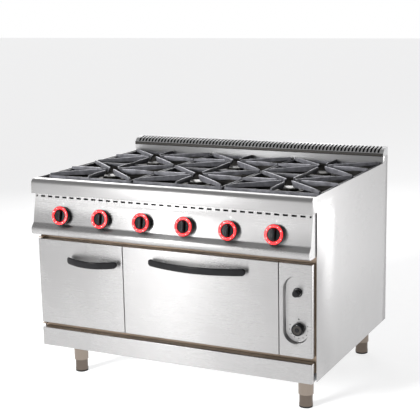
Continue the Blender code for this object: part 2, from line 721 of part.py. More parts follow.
GAS_INLET = (0.555, 0.550)
MANIFOLD_SETBACK = 0.105
MANIFOLD_BEHIND_PANEL = (MANIFOLD_SETBACK - KNOB_SETBACK) / math.cos(PANEL_TILT)
MANIFOLD_Z = KNOB_Z - MANIFOLD_BEHIND_PANEL * math.sin(PANEL_TILT)


def build_gas_manifold():
    """Rail with six taps, a feed pipe to each burner, the oven valve and the inlet."""
    y = at(MANIFOLD_SETBACK)
    rail = rod((-0.490, y, MANIFOLD_Z), (GAS_INLET[0] + 0.010, y, MANIFOLD_Z), 0.0135)
    knobs = knob_positions()
    for _, x in knobs:
        rail = joined(
            rail, rod(on_knob_axis(x, -0.030), on_knob_axis(x, -0.095), 0.0115, 12),
            rod(on_knob_axis(x, 0.010), on_knob_axis(x, -0.035), SPINDLE_RADIUS, 12))
    for number, burner_x, setback in grate_centres():
        column, rear = (number - 1) % 3, number > 3
        tap_x = knobs[2 * column + (0 if rear else 1)][1]
        mouth = setback - VENTURI_LENGTH - 0.001
        path = [
            (tap_x, at(MANIFOLD_SETBACK + 0.002), MANIFOLD_Z + 0.004),
            (tap_x, at(MANIFOLD_SETBACK + 0.020), MANIFOLD_Z + 0.055 if not rear else VENTURI_Z),
            (burner_x if not rear else tap_x, at(mouth - 0.025), VENTURI_Z),
            (burner_x, at(mouth - 0.012), VENTURI_Z),
            (burner_x, at(mouth), VENTURI_Z)]
        rail = joined(rail, pipe(path, 0.005))
    inlet_x, inlet_z = GAS_INLET
    inlet = pipe([
        (inlet_x, y, MANIFOLD_Z), (inlet_x, y, inlet_z + 0.02), (inlet_x, y + 0.02, inlet_z),
        (inlet_x, at(DEPTH - 0.003), inlet_z)], 0.0105)
    oven_x, oven_z = THERMOSTAT
    feed = rod((oven_x, y, MANIFOLD_Z), (oven_x, y, oven_z), 0.006, 12)
    valve = block((oven_x - 0.022, oven_x + 0.022), (at(0.075), at(0.130)), (0.330, 0.378))
    spindle = rod((oven_x, at(0.080), oven_z), (oven_x, at(0.029), oven_z), 0.003, 12)
    place("gas_manifold", joined(rail, inlet, feed, valve, spindle), "brass")


def build_burners():
    """Cast burner bodies with a side venturi, and loose caps above them."""
    neck = BURNER_NECK_RADIUS
    floor = WELL_FLOOR_Z + GAP
    rim = WELL_FLOOR_Z + 0.026
    profile = [
        (0.0, 0.740), (neck - 0.004, 0.740), (neck, 0.745), (neck, floor), (0.052, floor),
        (0.057, rim - 0.014), (0.057, rim - 0.004), (0.054, rim), (0.031, rim),
        (0.031, rim - 0.008), (0.0, rim - 0.008)]
    tube = rod((0.0, 0.0, VENTURI_Z), (0.0, -VENTURI_LENGTH, VENTURI_Z), 0.013, 12)
    bore = rod((0.0, -0.050, VENTURI_Z), (0.0, -VENTURI_LENGTH - 0.01, VENTURI_Z), 0.010, 8)
    body = cut(joined(turned(profile, 16), tube), bore)
    seat = rim + GAP
    cap_profile = [
        (0.0, seat - 0.006), (0.030, seat - 0.006), (0.030, seat), (CAP_RADIUS, seat),
        (CAP_RADIUS, seat + 0.006), (0.034, seat + 0.010), (0.016, seat + 0.012), (0.0, seat + 0.012)]
    first_body, first_cap = None, None
    for number, x, setback in grate_centres():
        location = (x, at(setback), 0.0)
        if first_body is None:
            first_body = place(f"burner_{number}", body, "cast_iron", location, smooth=True)
            first_cap = place(
                f"burner_cap_{number}", turned(cap_profile), "burner_alloy", location, smooth=True)
        else:
            place_copy(f"burner_{number}", first_body, location)
            place_copy(f"burner_cap_{number}", first_cap, location)


def build_grates():
    """Square cast frame with four side fins and four corner fins."""
    bar, bottom, frame_top = 0.012, DECK_Z + GAP, GRATE_TOP_Z - 0.003
    half_x, half_y = GRATE_WIDTH / 2, GRATE_DEPTH / 2
    grate = block((-half_x, half_x), (-half_y, half_y), (bottom, frame_top))
    grate = cut(grate, block(
        (bar - half_x, half_x - bar), (bar - half_y, half_y - bar), (bottom - bar, frame_top + bar)))
    tip, foot, fin_half = 0.042, 0.060, 0.004
    corner = math.hypot(half_x, half_y)
    corner_angle = math.atan2(half_y, half_x)
    fins = [(0.0, half_x), (corner_angle, corner), (math.pi / 2, half_y),
            (math.pi - corner_angle, corner)]
    fins += [(angle + math.pi, reach) for angle, reach in fins]
    for angle, reach in fins:
        outer = reach - bar / 2
        outline = [
            (tip, -fin_half, GRATE_TOP_Z), (tip, -fin_half, GRATE_TOP_Z - 0.004),
            (foot, -fin_half, GRATE_TOP_Z - 0.023), (outer - 0.05, -fin_half, GRATE_TOP_Z - 0.014),
            (outer, -fin_half, GRATE_TOP_Z - 0.013), (outer, -fin_half, GRATE_TOP_Z)]
        fin = extruded(outline, (0.0, 2 * fin_half, 0.0))
        grate = joined(grate, moved(fin, Matrix.Rotation(angle, 4, "Z")))
    first = None
    for number, x, setback in grate_centres():
        location = (x, at(setback), 0.0)
        if first is None:
            first = place(f"grate_{number}", grate, "cast_iron", location)
        else:
            place_copy(f"grate_{number}", first, location)


# ---------------------------------------------------------------------- legs

def build_legs():
    """Telescopic legs: a flanged socket and a sliding foot in each."""
    bore = FOOT_RADIUS + 0.0008
    socket_profile = [
        (0.0, 0.146), (bore, 0.146), (bore, LEG_STEP_Z), (LEG_RADIUS, LEG_STEP_Z),
        (LEG_RADIUS, 0.149), (0.042, 0.149), (0.042, 0.153), (0.0, 0.153)]
    foot_profile = [
        (0.0, 0.0), (0.024, 0.0), (0.0275, 0.004), (0.0275, 0.010), (FOOT_RADIUS, 0.016),
        (FOOT_RADIUS, 0.110), (0.020, 0.110), (0.020, 0.060), (0.0, 0.060)]
    first_socket, first_foot = None, None
    for row, setback in LEG_SETBACKS.items():
        for side, x in (("left", -LEG_X), ("right", LEG_X)):
            location = (x, at(setback), 0.0)
            if first_socket is None:
                first_socket = place(
                    f"leg_{row}_{side}", turned(socket_profile), "brushed_steel", location, smooth=True)
                first_foot = place(
                    f"foot_{row}_{side}", turned(foot_profile), "brushed_steel", location, smooth=True)
            else:
                place_copy(f"leg_{row}_{side}", first_socket, location)
                place_copy(f"foot_{row}_{side}", first_foot, location)


for leftover in list(bpy.data.objects):
    bpy.data.objects.remove(leftover)

MATERIALS = make_materials()
build_side_panels()
build_worktop()
build_control_panel()
build_front_frame()
build_kick_panel()
build_control_plate()
build_flue()
build_rear_panel()
build_base_frame()
build_oven()
build_cabinet()
build_cabinet_door()
build_oven_door()
build_knobs()
build_oven_controls()
build_gas_manifold()
build_burners()
build_grates()
build_legs()
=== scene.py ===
# %% [markdown]
# # Dressing a six-burner gas range
# A restaurant range is mostly folded stainless sheet, with cast iron, black phenolic and a
# little red and brass on it. The CAD frame gives every place and every motion. This lesson
# adds what the eye needs: rounded folds, pressed wells, cast grates and worked metal. Every
# length is in metres, so 0.0012 is the 1.2 mm sheet of a door.
# %% Load the frame
import json
import math

import bpy
import numpy as np
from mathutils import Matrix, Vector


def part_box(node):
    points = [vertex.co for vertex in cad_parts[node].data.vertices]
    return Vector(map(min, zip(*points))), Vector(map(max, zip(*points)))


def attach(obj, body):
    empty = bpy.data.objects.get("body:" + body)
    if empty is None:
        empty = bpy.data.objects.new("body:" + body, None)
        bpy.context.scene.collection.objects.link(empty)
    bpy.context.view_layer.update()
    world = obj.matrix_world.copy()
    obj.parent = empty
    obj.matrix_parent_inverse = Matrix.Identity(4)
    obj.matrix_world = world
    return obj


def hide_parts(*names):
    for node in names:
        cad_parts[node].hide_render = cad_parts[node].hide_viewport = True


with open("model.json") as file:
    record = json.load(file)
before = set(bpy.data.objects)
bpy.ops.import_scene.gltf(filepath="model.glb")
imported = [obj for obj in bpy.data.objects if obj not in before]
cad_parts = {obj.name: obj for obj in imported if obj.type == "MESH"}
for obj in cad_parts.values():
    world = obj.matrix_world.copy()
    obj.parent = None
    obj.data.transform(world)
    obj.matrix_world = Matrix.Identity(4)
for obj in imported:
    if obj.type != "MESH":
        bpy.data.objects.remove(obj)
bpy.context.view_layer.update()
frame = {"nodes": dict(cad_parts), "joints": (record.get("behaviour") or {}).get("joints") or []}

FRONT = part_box("worktop")[0].y


def at(setback):
    """Y of a depth measured behind the front of the rounded worktop edge."""
    return FRONT + setback


# %% [markdown]
# ## Grids, paths and pieces
# A sheet-metal fold, a lathe-turned knob and a cast bar are all the same thing to a mesh: a
# grid of points, rows by columns. Drawing boxes and bevelling them would be quicker for one
# piece. A few functions on whole arrays serve for all of them, and give exact sizes.
# %% Grids
def grid(points, close_rows=False, close_columns=False, keep=None, finish=0):
    """Vertices and quads of a grid of points (rows, columns, XYZ), each quad between
    neighbours. A closed direction joins its last line to its first. Keep drops quads."""
    rows, columns = points.shape[:2]
    index = np.arange(rows * columns).reshape(rows, columns)
    if close_rows:
        index = np.vstack([index, index[:1]])
    if close_columns:
        index = np.hstack([index, index[:, :1]])
    quads = np.stack([index[:-1, :-1], index[1:, :-1], index[1:, 1:], index[:-1, 1:]], axis=-1)
    quads = quads[keep] if keep is not None else quads.reshape(-1, 4)
    return points.reshape(-1, 3), quads, finish


def soften(corners, radius, steps=4, closed=False):
    """Round a path's corners: each becomes a quadratic curve that starts and ends one
    radius away from it along its two edges, and never past an edge's middle."""
    corners = np.array(corners, float)

    def reach(edge):
        """From a corner towards its neighbour, by one radius or half of the edge."""
        length = np.linalg.norm(edge, axis=1, keepdims=True)
        return edge * np.minimum(radius / np.maximum(length, 1e-9), 0.5)

    start = corners + reach(np.roll(corners, 1, axis=0) - corners)
    end = corners + reach(np.roll(corners, -1, axis=0) - corners)
    t = np.linspace(0.0, 1.0, steps + 1)[None, :, None]
    arcs = ((1 - t) ** 2 * start[:, None] + 2 * t * (1 - t) * corners[:, None]
            + t ** 2 * end[:, None])
    path = arcs.reshape(-1, corners.shape[1])
    if closed:
        return path
    return np.concatenate([corners[:1], path[steps + 1:-(steps + 1)], corners[-1:]])


def lathe(profile, around=48, finish=0):
    """A (radius, height) profile spun round Z: x = r cos a, y = r sin a, z = height."""
    profile = np.array(profile, float)
    angle = np.linspace(0.0, math.tau, around, endpoint=False)
    ring = np.stack([np.cos(angle), np.sin(angle), np.ones(around)], axis=-1)
    scale = np.stack([profile[:, 0], profile[:, 0], profile[:, 1]], axis=-1)
    return grid(scale[:, None] * ring[None], close_columns=True, finish=finish)


def carry(section, path, side, up, closed=False, finish=0):
    """A closed 2-D section carried along a path: point = path + s * side + h * up.
    Section may be one loop, or one loop for each point of the path."""
    section = np.broadcast_to(section, (len(path),) + np.shape(section)[-2:])
    side = np.broadcast_to(side, (len(path), 3))[:, None]
    up = np.broadcast_to(up, (len(path), 3))[:, None]
    points = np.asarray(path)[:, None] + section[..., :1] * side + section[..., 1:] * up
    return grid(points, close_rows=closed, close_columns=True, finish=finish)


def loop(half_x, half_y, radius, steps=5):
    """Rounded rectangle: four quarter circles, one about each inset corner."""
    angle = np.linspace(0.0, math.pi / 2, steps + 1)
    angle = np.concatenate([angle + quarter * math.pi / 2 for quarter in range(4)])
    quarter = np.repeat([[1, 1], [-1, 1], [-1, -1], [1, -1]], steps + 1, axis=0)
    centre = quarter * [half_x - radius, half_y - radius]
    return centre + radius * np.stack([np.cos(angle), np.sin(angle)], axis=-1)


def rings_up(levels, steps):
    """Rounded rectangles (half X, half Y, corner radius, Z), each one ring of points, stacked
    in the order given: point = (loop x, loop y, Z of its level)."""
    return np.stack([
        np.concatenate([loop(half_x, half_y, radius, steps), np.full((4 * (steps + 1), 1), z)],
                       axis=1) for half_x, half_y, radius, z in levels])


print("a 30 x 20 mm rounded loop has", len(loop(0.015, 0.010, 0.003)), "points")


# %% [markdown]
# ## From grids to a piece that moves
# Several grids make one piece, such as a knob's body, ring and marks. The mesh is merged, so
# that poles and seams close, and its faces are turned outwards. An open sheet takes its wall
# from a Solidify modifier, as real sheet does from the mill.
# %% Pieces
import bmesh

pieces_made = {}
MERGE_WITHIN, SHORTEST_EDGE = 2e-6, 1e-7


def shifted(part, matrix=None, offset=(0.0, 0.0, 0.0)):
    """A part turned by a 3 x 3 matrix and then moved: new = matrix * old + offset."""
    points, quads, finish = part
    if matrix is not None:
        points = points @ np.array(matrix).T
    return points + np.array(offset), quads, finish


def piece(name, parts, finishes, body, replaces=(), wall=0.0, facing=None,
          crease=32.0, hem=0.0):
    """Build one object from grids, ride it on its body and hide the CAD nodes it stands for.
    Facing is a point that an open sheet's faces look towards; closed shapes need none. The
    wall is applied before edges are marked sharp, so that cut edges stay crisp. A hem is the
    width by which the edges of the wall are then bevelled, and crease is in degrees."""
    starts = np.cumsum([0] + [len(part[0]) for part in parts])
    points = np.concatenate([part[0] for part in parts])
    quads = np.concatenate([part[1] + start for part, start in zip(parts, starts)])
    finish = np.concatenate([np.full(len(part[1]), part[2]) for part in parts])
    mesh = bpy.data.meshes.new(name)
    mesh.from_pydata(points.tolist(), [], quads.tolist())
    mesh.polygons.foreach_set("material_index", finish.astype(np.int32))
    work = bmesh.new()
    work.from_mesh(mesh)
    bmesh.ops.remove_doubles(work, verts=work.verts, dist=MERGE_WITHIN)
    bmesh.ops.dissolve_degenerate(work, edges=work.edges, dist=SHORTEST_EDGE)
    if facing is None:
        bmesh.ops.recalc_face_normals(work, faces=work.faces)
    work.to_mesh(mesh)
    work.free()
    if facing is not None:
        centre = np.zeros(len(mesh.polygons) * 3)
        normal = np.zeros(len(mesh.polygons) * 3)
        area = np.zeros(len(mesh.polygons))
        mesh.polygons.foreach_get("center", centre)
        mesh.polygons.foreach_get("normal", normal)
        mesh.polygons.foreach_get("area", area)
        towards = (np.array(facing) - centre.reshape(-1, 3)) * normal.reshape(-1, 3)
        if (towards.sum(axis=1) * area).sum() < 0:
            mesh.flip_normals()
    for material in finishes:
        mesh.materials.append(material)
    made = bpy.data.objects.new(name, mesh)
    bpy.context.scene.collection.objects.link(made)
    if wall:
        solid = made.modifiers.new("wall", "SOLIDIFY")
        solid.thickness, solid.offset, solid.use_even_offset = wall, -1.0, True
        if hem:
            edge = made.modifiers.new("hem", "BEVEL")
            edge.width, edge.segments = hem, 2
            edge.limit_method, edge.angle_limit = "ANGLE", 1.0
        view = bpy.context.evaluated_depsgraph_get()
        made.data = bpy.data.meshes.new_from_object(made.evaluated_get(view))
        made.modifiers.clear()
    made.data.shade_smooth()
    made.data.set_sharp_from_angle(angle=math.radians(crease))
    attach(made, body)
    if replaces:
        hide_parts(*replaces)
    pieces_made[name] = len(made.data.polygons)
    return made


# %% [markdown]
# ## Colours and nodes
# Paint charts and picture tools give colours as sRGB hex values. Blender's shaders count
# light, so each value is turned to linear first. One helper adds any node with its settings
# and its links, which keeps each material short enough to read. Two kinds of node come often.
# A Map Range node stretches the part of a pattern between inputs 1 and 2 over the range from
# 3 to 4, and a Mix node set to RGBA goes from the colour at input 6 to the one at input 7.
# %% Helpers for materials
def colour(code):
    """Linear RGBA from an sRGB hex code."""
    srgb = np.array([int(code[place:place + 2], 16) for place in (1, 3, 5)]) / 255.0
    linear = np.where(srgb <= 0.04045, srgb / 12.92, ((srgb + 0.055) / 1.055) ** 2.4)
    return (*linear.tolist(), 1.0)


def add(tree, kind, inputs=None, out=None, **settings):
    """Add one node. An input is given a value, or another node's output to link. The result
    is the node's output called out, ready to link on, or the whole node if out is left out."""
    item = tree.nodes.new("ShaderNode" + kind)
    for setting, value in settings.items():
        setattr(item, setting, value)
    for key, value in (inputs or {}).items():
        if isinstance(value, bpy.types.NodeSocket):
            tree.links.new(value, item.inputs[key])
        else:
            item.inputs[key].default_value = value
    return item if out is None else item.outputs[out]


def begin_finish(name, **sockets):
    """A new material with its shader's sockets set. Gives the material, its tree, its shader
    and the Object coordinates, in metres, that place every pattern."""
    material = bpy.data.materials.new(name)
    material.use_nodes = True
    tree = material.node_tree
    shader = tree.nodes["Principled BSDF"]
    for socket, value in sockets.items():
        shader.inputs[socket.replace("_", " ")].default_value = value
    return material, tree, shader, add(tree, "TexCoord", out="Object")


print("mid grey in linear light:", round(colour("#808080")[0], 3))


# %% [markdown]
# ## Brushed stainless steel
# The sheet is 18/10 stainless, ground with a belt. The belt leaves fine parallel lines, so
# reflections smear across the grain: a lamp becomes a tall soft streak. Anisotropy gives that
# smear, and noise stretched along the grain gives the lines themselves. A picture of brushed
# steel would repeat, and its lines would be too coarse up close. A slow wave keeps the sheet
# from looking like glass, as thin sheet is never quite flat.
# %% Stainless finishes
# Wiped patches are about 200 mm across, and the sheet bows over about 450 mm
HAZE_PER_METRE, BOW_PER_METRE = 5.0, 2.2


def brushed(name, grain, tone="#BDBCBC", rough=0.27, smear=0.92, wave=0.35, lines=0.05):
    """Brushed sheet. Grain is the length in metres of a line's shape along X, Y and Z. Shade
    and roughness follow grit * haze: fine lines, stronger in some patches than in others.
    The height is a slow bow with the grit on top of it."""
    material, tree, shader, spot = begin_finish(
        name, Metallic=1.0, Anisotropic=smear, Anisotropic_Rotation=0.25)
    stretch = tuple(1.0 / length for length in grain)
    along = add(tree, "Mapping", {"Vector": spot, "Scale": stretch}, out=0)
    grit = add(tree, "TexNoise", {
        "Vector": along, "Scale": 1.0, "Detail": 4.0, "Roughness": 0.7}, out=0)
    haze = add(tree, "TexNoise", {
        "Vector": spot, "Scale": HAZE_PER_METRE, "Detail": 3.0, "Roughness": 0.55}, out=0)
    slow = add(tree, "TexNoise", {"Vector": spot, "Scale": BOW_PER_METRE, "Detail": 1.0}, out=0)
    wiped = add(tree, "Math", {0: grit, 1: haze}, out=0, operation="MULTIPLY")
    shade = add(tree, "MapRange", {0: wiped, 1: 0.12, 2: 0.42, 3: 0.0, 4: 1.0}, out=0)
    light = colour(tone)
    dark = (*(np.array(light[:3]) * 0.90), 1.0)
    tint = add(tree, "Mix", {0: shade, 6: dark, 7: light}, out=2, data_type="RGBA")
    tree.links.new(tint, shader.inputs["Base Color"])
    dull, bright = rough + 0.05, rough - 0.04
    gloss = add(tree, "MapRange", {0: wiped, 1: 0.10, 2: 0.45, 3: dull, 4: bright}, out=0)
    tree.links.new(gloss, shader.inputs["Roughness"])
    bow = add(tree, "Bump", {"Height": slow, "Strength": wave, "Distance": 0.003}, out=0)
    scratch = add(tree, "Bump", {
        "Height": grit, "Strength": lines, "Distance": 0.0003, "Normal": bow}, out=0)
    tree.links.new(scratch, shader.inputs["Normal"])
    if smear:
        turned = add(tree, "Tangent", out=0, direction_type="RADIAL", axis="Z")
        tree.links.new(turned, shader.inputs["Tangent"])
    return material


# Grit lines are about 0.05 mm apart. They are drawn 0.7 mm apart, as fine as shows from here.
# Fronts: the grain runs from side to side, so a lamp is pulled out into a tall streak.
steel_front = brushed("Brushed_stainless_304_grain_across", (0.16, 0.0016, 0.0007))
# Sides: the grain runs from front to back on a flatter sheet, which gives one calm tone.
steel_side = brushed("Brushed_stainless_304_grain_front_to_back", (0.0016, 0.16, 0.0007),
                     rough=0.28, smear=0.85, wave=0.12)
# Worktop: the same sheet, duller, because it is scoured every day.
steel_deck = brushed(
    "Brushed_stainless_304_worktop", (0.16, 0.0007, 0.0016), rough=0.30, smear=0.8)
# Wells: nearly black and without grain, as painted shade under the grates. The same dark steel also
# gives the flue's painted shadow line and the thermostat's dished face.
steel_dark_and_painted_shade = brushed("Stainless_430_scorched_well", (0.004, 0.004, 0.004),
                         tone="#4A4846", rough=0.34, smear=0.0)
# Legs: drawn and polished tube is glossy, and looks brownish because it stands in shade.
steel_tube = brushed("Polished_stainless_tube", (0.004, 0.004, 0.0009),
                     tone="#93887E", rough=0.13, smear=0.0, wave=0.0)
# Feet: the same tube with a darker tone, painted shade, so that the step between the two can be
# seen.
steel_foot_painted_shade = brushed("Polished_stainless_foot", (0.004, 0.004, 0.0009),
                     tone="#6E645C", rough=0.11, smear=0.0, wave=0.0)
# Face frame: the steel in the grooves has a darker straw brown tone, painted shade in the recesses.
steel_groove_painted_shade = brushed("Stainless_430_heat_tinted", (0.12, 0.0016, 0.0007),
                       tone="#9C8B7B", rough=0.34, smear=0.0)
# Flue: plain 430 sheet, paler and less smooth than the doors.
steel_riser = brushed(
    "Brushed_stainless_430_flue", (0.12, 0.0016, 0.0007), tone="#D2D2D3", rough=0.32)
stainless = [name for name in bpy.data.materials.keys() if "stainless" in name.lower()]
print("stainless finishes:", stainless)

# %% [markdown]
# ## Zinc, enamel, castings and mouldings
# Galvanised sheet shows frost-like zinc crystals about 8 mm across, so its pattern is cells.
# Vitreous enamel is glass fused on steel: glossy, with fine orange peel. Sand-cast iron keeps
# the grain of the sand, 0.5 to 1 mm, and pans polish its top edges; their lighter tone is also a
# painted highlight. Phenolic and ABS mouldings are smooth and glossy, with faint marks from
# handling. All of them have an even grain, so one function serves, with two colours, a grain
# size, a range of roughness and a depth. Grain that is finer in life, as on ink or rubber, is
# drawn about 1 to 2 mm wide, which just shows.
# %% Other finishes
def grained(name, dark, light, size, rough, depth, metal=0.0, **sockets):
    """A surface with an even grain. The sum of fine noise of one size, in metres, and of
    patches twelve times as large tints and roughens it. The fine noise embosses it by depth."""
    material, tree, shader, spot = begin_finish(name, Metallic=metal, **sockets)
    fine = add(tree, "TexNoise", {
        "Vector": spot, "Scale": 1.0 / size, "Detail": 4.0, "Roughness": 0.6}, out=0)
    broad = add(tree, "TexNoise", {
        "Vector": spot, "Scale": 1.0 / (size * 12), "Detail": 2.0}, out=0)
    both = add(tree, "Math", {0: fine, 1: broad}, out=0, operation="ADD")
    share = add(tree, "MapRange", {0: both, 1: 0.75, 2: 1.25, 3: 0.0, 4: 1.0}, out=0)
    tint = add(tree, "Mix", {0: share, 6: colour(dark), 7: colour(light)}, out=2,
               data_type="RGBA")
    tree.links.new(tint, shader.inputs["Base Color"])
    gloss = add(tree, "MapRange", {0: both, 1: 0.7, 2: 1.3, 3: rough[1], 4: rough[0]}, out=0)
    tree.links.new(gloss, shader.inputs["Roughness"])
    bump = add(tree, "Bump", {"Height": fine, "Strength": 0.5, "Distance": depth}, out=0)
    tree.links.new(bump, shader.inputs["Normal"])
    return material


# Hot-dipped zinc: dull metal. Its 8 mm crystals, each of its own shade, replace the even tint.
zinc = grained(
    "Galvanised_steel_spangled", "#8F9498", "#B4B8BB", 0.003, (0.32, 0.50), 0.00005, metal=1.0)
SPANGLES_PER_METRE = 120.0
tree = zinc.node_tree
spangle = add(tree, "TexVoronoi", {
    "Vector": add(tree, "TexCoord", out="Object"), "Scale": SPANGLES_PER_METRE}, out="Color")
shade = add(tree, "MapRange", {0: spangle, 1: 0.0, 2: 1.0, 3: 0.0, 4: 1.0}, out=0)
frost = add(tree, "Mix", {0: shade, 6: colour("#8A8F93"), 7: colour("#B9BDC0")}, out=2,
            data_type="RGBA")
tree.links.new(frost, tree.nodes["Principled BSDF"].inputs["Base Color"])

# Fired enamel: a dark glass skin with a clear gloss and a fine orange peel.
enamel = grained("Vitreous_enamel_dark_grey", "#141417", "#26262A", 0.0012, (0.16, 0.30),
                 0.00006, Coat_Weight=0.4)
# Die-cast aluminium, fettled by hand: dark grey metal with a soft, uneven gloss, its tone painted
# far darker than plain aluminium as the shade under the grates.
alloy_painted_shade = grained("Cast_aluminium_burner_fettled", "#3B3834", "#5C5852", 0.0010, (0.36, 0.56),
                0.00012, metal=1.0)
# Compression-moulded phenolic: deep black, with a narrow highlight.
phenolic = grained("Phenolic_black_moulded", "#070708", "#101012", 0.0020, (0.16, 0.28),
                   0.00003, Specular_IOR_Level=0.24)
# Injection-moulded ABS: a full, clean red under a shine.
red_abs = grained("ABS_red_moulded", "#C4151C", "#DD2A2C", 0.0015, (0.22, 0.36), 0.00003,
                  Coat_Weight=0.25)
# Screen-printed ink: flat and even, with hardly any gloss.
white_print = grained(
    "Screen_print_white", "#DADADA", "#F4F4F4", 0.0010, (0.40, 0.55), 0.00001)
black_print = grained(
    "Screen_print_black", "#101010", "#1E1E1E", 0.0010, (0.40, 0.55), 0.00001)
# Turned iron caps: dark metal, as painted shade under the grates, that still glints at its edges.
cap_painted_shade = grained("Cast_iron_cap_burnt", "#2B2927", "#4C4945", 0.0010, (0.24, 0.40), 0.00012,
                   metal=1.0)
# Machined brass: a warm yellow glint at the gas inlet.
brass = grained(
    "Brass_machined", "#9C7A34", "#C9A557", 0.0010, (0.22, 0.40), 0.00004, metal=1.0)
# Woven glass rope: matt and grey, with a coarse grain of yarn.
fibre = grained("Glass_fibre_rope_woven", "#2A2926", "#55534D", 0.0009, (0.80, 0.95), 0.0003)
# Moulded rubber: black and nearly matt.
rubber = grained("Rubber_black_moulded", "#0C0C0C", "#1B1B1B", 0.0012, (0.55, 0.75), 0.00005)
# Near-black sheet behind the slots, painted shade: as good as no reflection, so that slots read as
# holes.
painted_shade_backing = grained("Mild_steel_sooted", "#050505", "#0E0D0D", 0.0020, (0.80, 0.95), 0.0001)
# Chromed drawn wire: the brightest metal here, with sharp highlights.
chrome = grained("Chromed_wire_drawn", "#B9BBBD", "#DADBDC", 0.0020, (0.10, 0.22), 0.00002,
                 metal=1.0)

# Sand grains of about 1.1 mm, and patches of scale of about 22 mm
GRAINS_PER_METRE, PATCHES_PER_METRE = 900.0, 45.0


def worn_and_lit_iron(name, lit_wear_from, lit_wear_to):
    """Sand-cast iron, blackened by heat, with worn metal where pans slide on its top edges, made
    lighter still as a painted highlight along them. The worn and lit share rises with height
    between two heights, times a share from the patches of scale. It leads from dull skin to bright
    metal."""
    material, tree, shader, spot = begin_finish(name)
    sand = add(tree, "TexNoise", {
        "Vector": spot, "Scale": GRAINS_PER_METRE, "Detail": 5.0, "Roughness": 0.65}, out=0)
    scale = add(tree, "TexNoise", {
        "Vector": spot, "Scale": PATCHES_PER_METRE, "Detail": 3.0}, out=0)
    height = add(tree, "SeparateXYZ", {0: spot}, out="Z")
    rise = add(tree, "MapRange", {0: height, 1: lit_wear_from, 2: lit_wear_to, 3: 0.0, 4: 1.0}, out=0)
    broken = add(tree, "MapRange", {0: scale, 1: 0.3, 2: 0.7, 3: 0.35, 4: 1.0}, out=0)
    rubbed_and_lit = add(tree, "Math", {0: rise, 1: broken}, out=0, operation="MULTIPLY")
    patch = add(tree, "MapRange", {0: scale, 1: 0.35, 2: 0.65, 3: 0.0, 4: 1.0}, out=0)
    skin = add(tree, "Mix", {0: patch, 6: colour("#39393C"), 7: colour("#4F4F53")}, out=2,
               data_type="RGBA")
    # Towards the top edges the skin turns to bright metal: wear, with a painted highlight on top of
    # it.
    tint = add(tree, "Mix", {0: rubbed_and_lit, 6: skin, 7: colour("#B4B4BA")}, out=2,
               data_type="RGBA")
    tree.links.new(tint, shader.inputs["Base Color"])
    bare_and_lit = add(tree, "MapRange", {0: rubbed_and_lit, 1: 0.0, 2: 1.0, 3: 0.15, 4: 0.85}, out=0)
    tree.links.new(bare_and_lit, shader.inputs["Metallic"])
    gloss = add(tree, "MapRange", {0: sand, 1: 0.3, 2: 0.7, 3: 0.36, 4: 0.56}, out=0)
    tree.links.new(gloss, shader.inputs["Roughness"])
    bump = add(tree, "Bump", {"Height": sand, "Strength": 0.55, "Distance": 0.00035}, out=0)
    tree.links.new(bump, shader.inputs["Normal"])
    return material


GRATE_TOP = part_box("grate_1")[1].z
iron = worn_and_lit_iron("Cast_iron_sand_cast_worn", GRATE_TOP - 0.0022, GRATE_TOP - 0.0006)
print("grate tops are at", round(GRATE_TOP, 4), "m")

# %% [markdown]
# ## Carried-over CAD nodes
# Flat sheet that the CAD already has right is kept. It only needs its finish: brushed sheet
# outside, galvanised sheet inside and behind, enamel in the oven, brass on the gas train.
# %% Finishes for the CAD nodes
NODE_FINISH = {
    "base_frame": zinc, "front_frame": steel_groove_painted_shade, "rear_panel": zinc, "cabinet_liner": zinc,
    "cabinet_hinge_pin": steel_tube, "oven_hinge_rod": steel_tube,
    "flue_duct": steel_riser, "oven_liner": enamel, "oven_sole_plate": enamel,
    "oven_door_liner": enamel, "oven_burner": iron, "gas_manifold": brass,
}
for node, finish in NODE_FINISH.items():
    mesh = frame["nodes"][node].data
    mesh.materials.clear()
    mesh.materials.append(finish)
print(len(NODE_FINISH), "CAD nodes keep their shape")

# %% [markdown]
# ## Worktop
# On the real range one sheet is folded over a rounded front edge and pressed down into six
# wells that catch spills. Cutting boxes from a slab leaves knife edges, which catch no light.
# Here the front is a profile carried along X, and each well is a set of rings, from the cell's
# square border in to the burner hole, so that every bend has its radius.
# %% Worktop sheet
SIDE_SHEET, DECK_SHEET, PANEL_SHEET, PLATE_SHEET = 0.002, 0.0015, 0.0012, 0.001
CLEARANCE = 0.0003
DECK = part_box("grate_1")[0].z - CLEARANCE
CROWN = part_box("worktop")[1].z
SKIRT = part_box("worktop")[0].z
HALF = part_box("worktop")[1].x
GRATES = [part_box(f"grate_{number}") for number in range(1, 7)]
CENTRES = np.array([[(low.x + high.x) / 2, (low.y + high.y) / 2] for low, high in GRATES])
CELL = np.array([CENTRES[1, 0] - CENTRES[0, 0], CENTRES[3, 1] - CENTRES[0, 1]]) / 2
WELL_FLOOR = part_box("burner_1")[1].z - 0.026
NOSE_RADIUS = 0.021
# Half sizes in X and Y, corner radius and fold radius of a well's rim and of its floor
RIM_HALF, RIM_CORNER, RIM_FOLD = (0.1905, 0.1725), 0.026, 0.004
FLOOR_HALF, FLOOR_CORNER, FLOOR_FOLD = (0.1825, 0.1645), 0.022, 0.008


def nose():
    """Quarter circle of the worktop's front edge, as (set-back, Z) from face to crown:
    r (1 - cos a) behind the front, and r (1 - sin a) below the crown."""
    angle = np.linspace(0.0, math.pi / 2, 14)
    return np.stack([NOSE_RADIUS * (1 - np.cos(angle)),
                     CROWN - NOSE_RADIUS * (1 - np.sin(angle))], axis=-1)


def strip(profile, x_low, x_high):
    """A (set-back, Z) profile carried straight along X, from one end to the other."""
    profile = np.array(profile)
    points = np.zeros((len(profile), 2, 3))
    points[..., 0] = x_low, x_high
    points[..., 1] = at(profile[:, :1])
    points[..., 2] = profile[:, 1:]
    return grid(points)


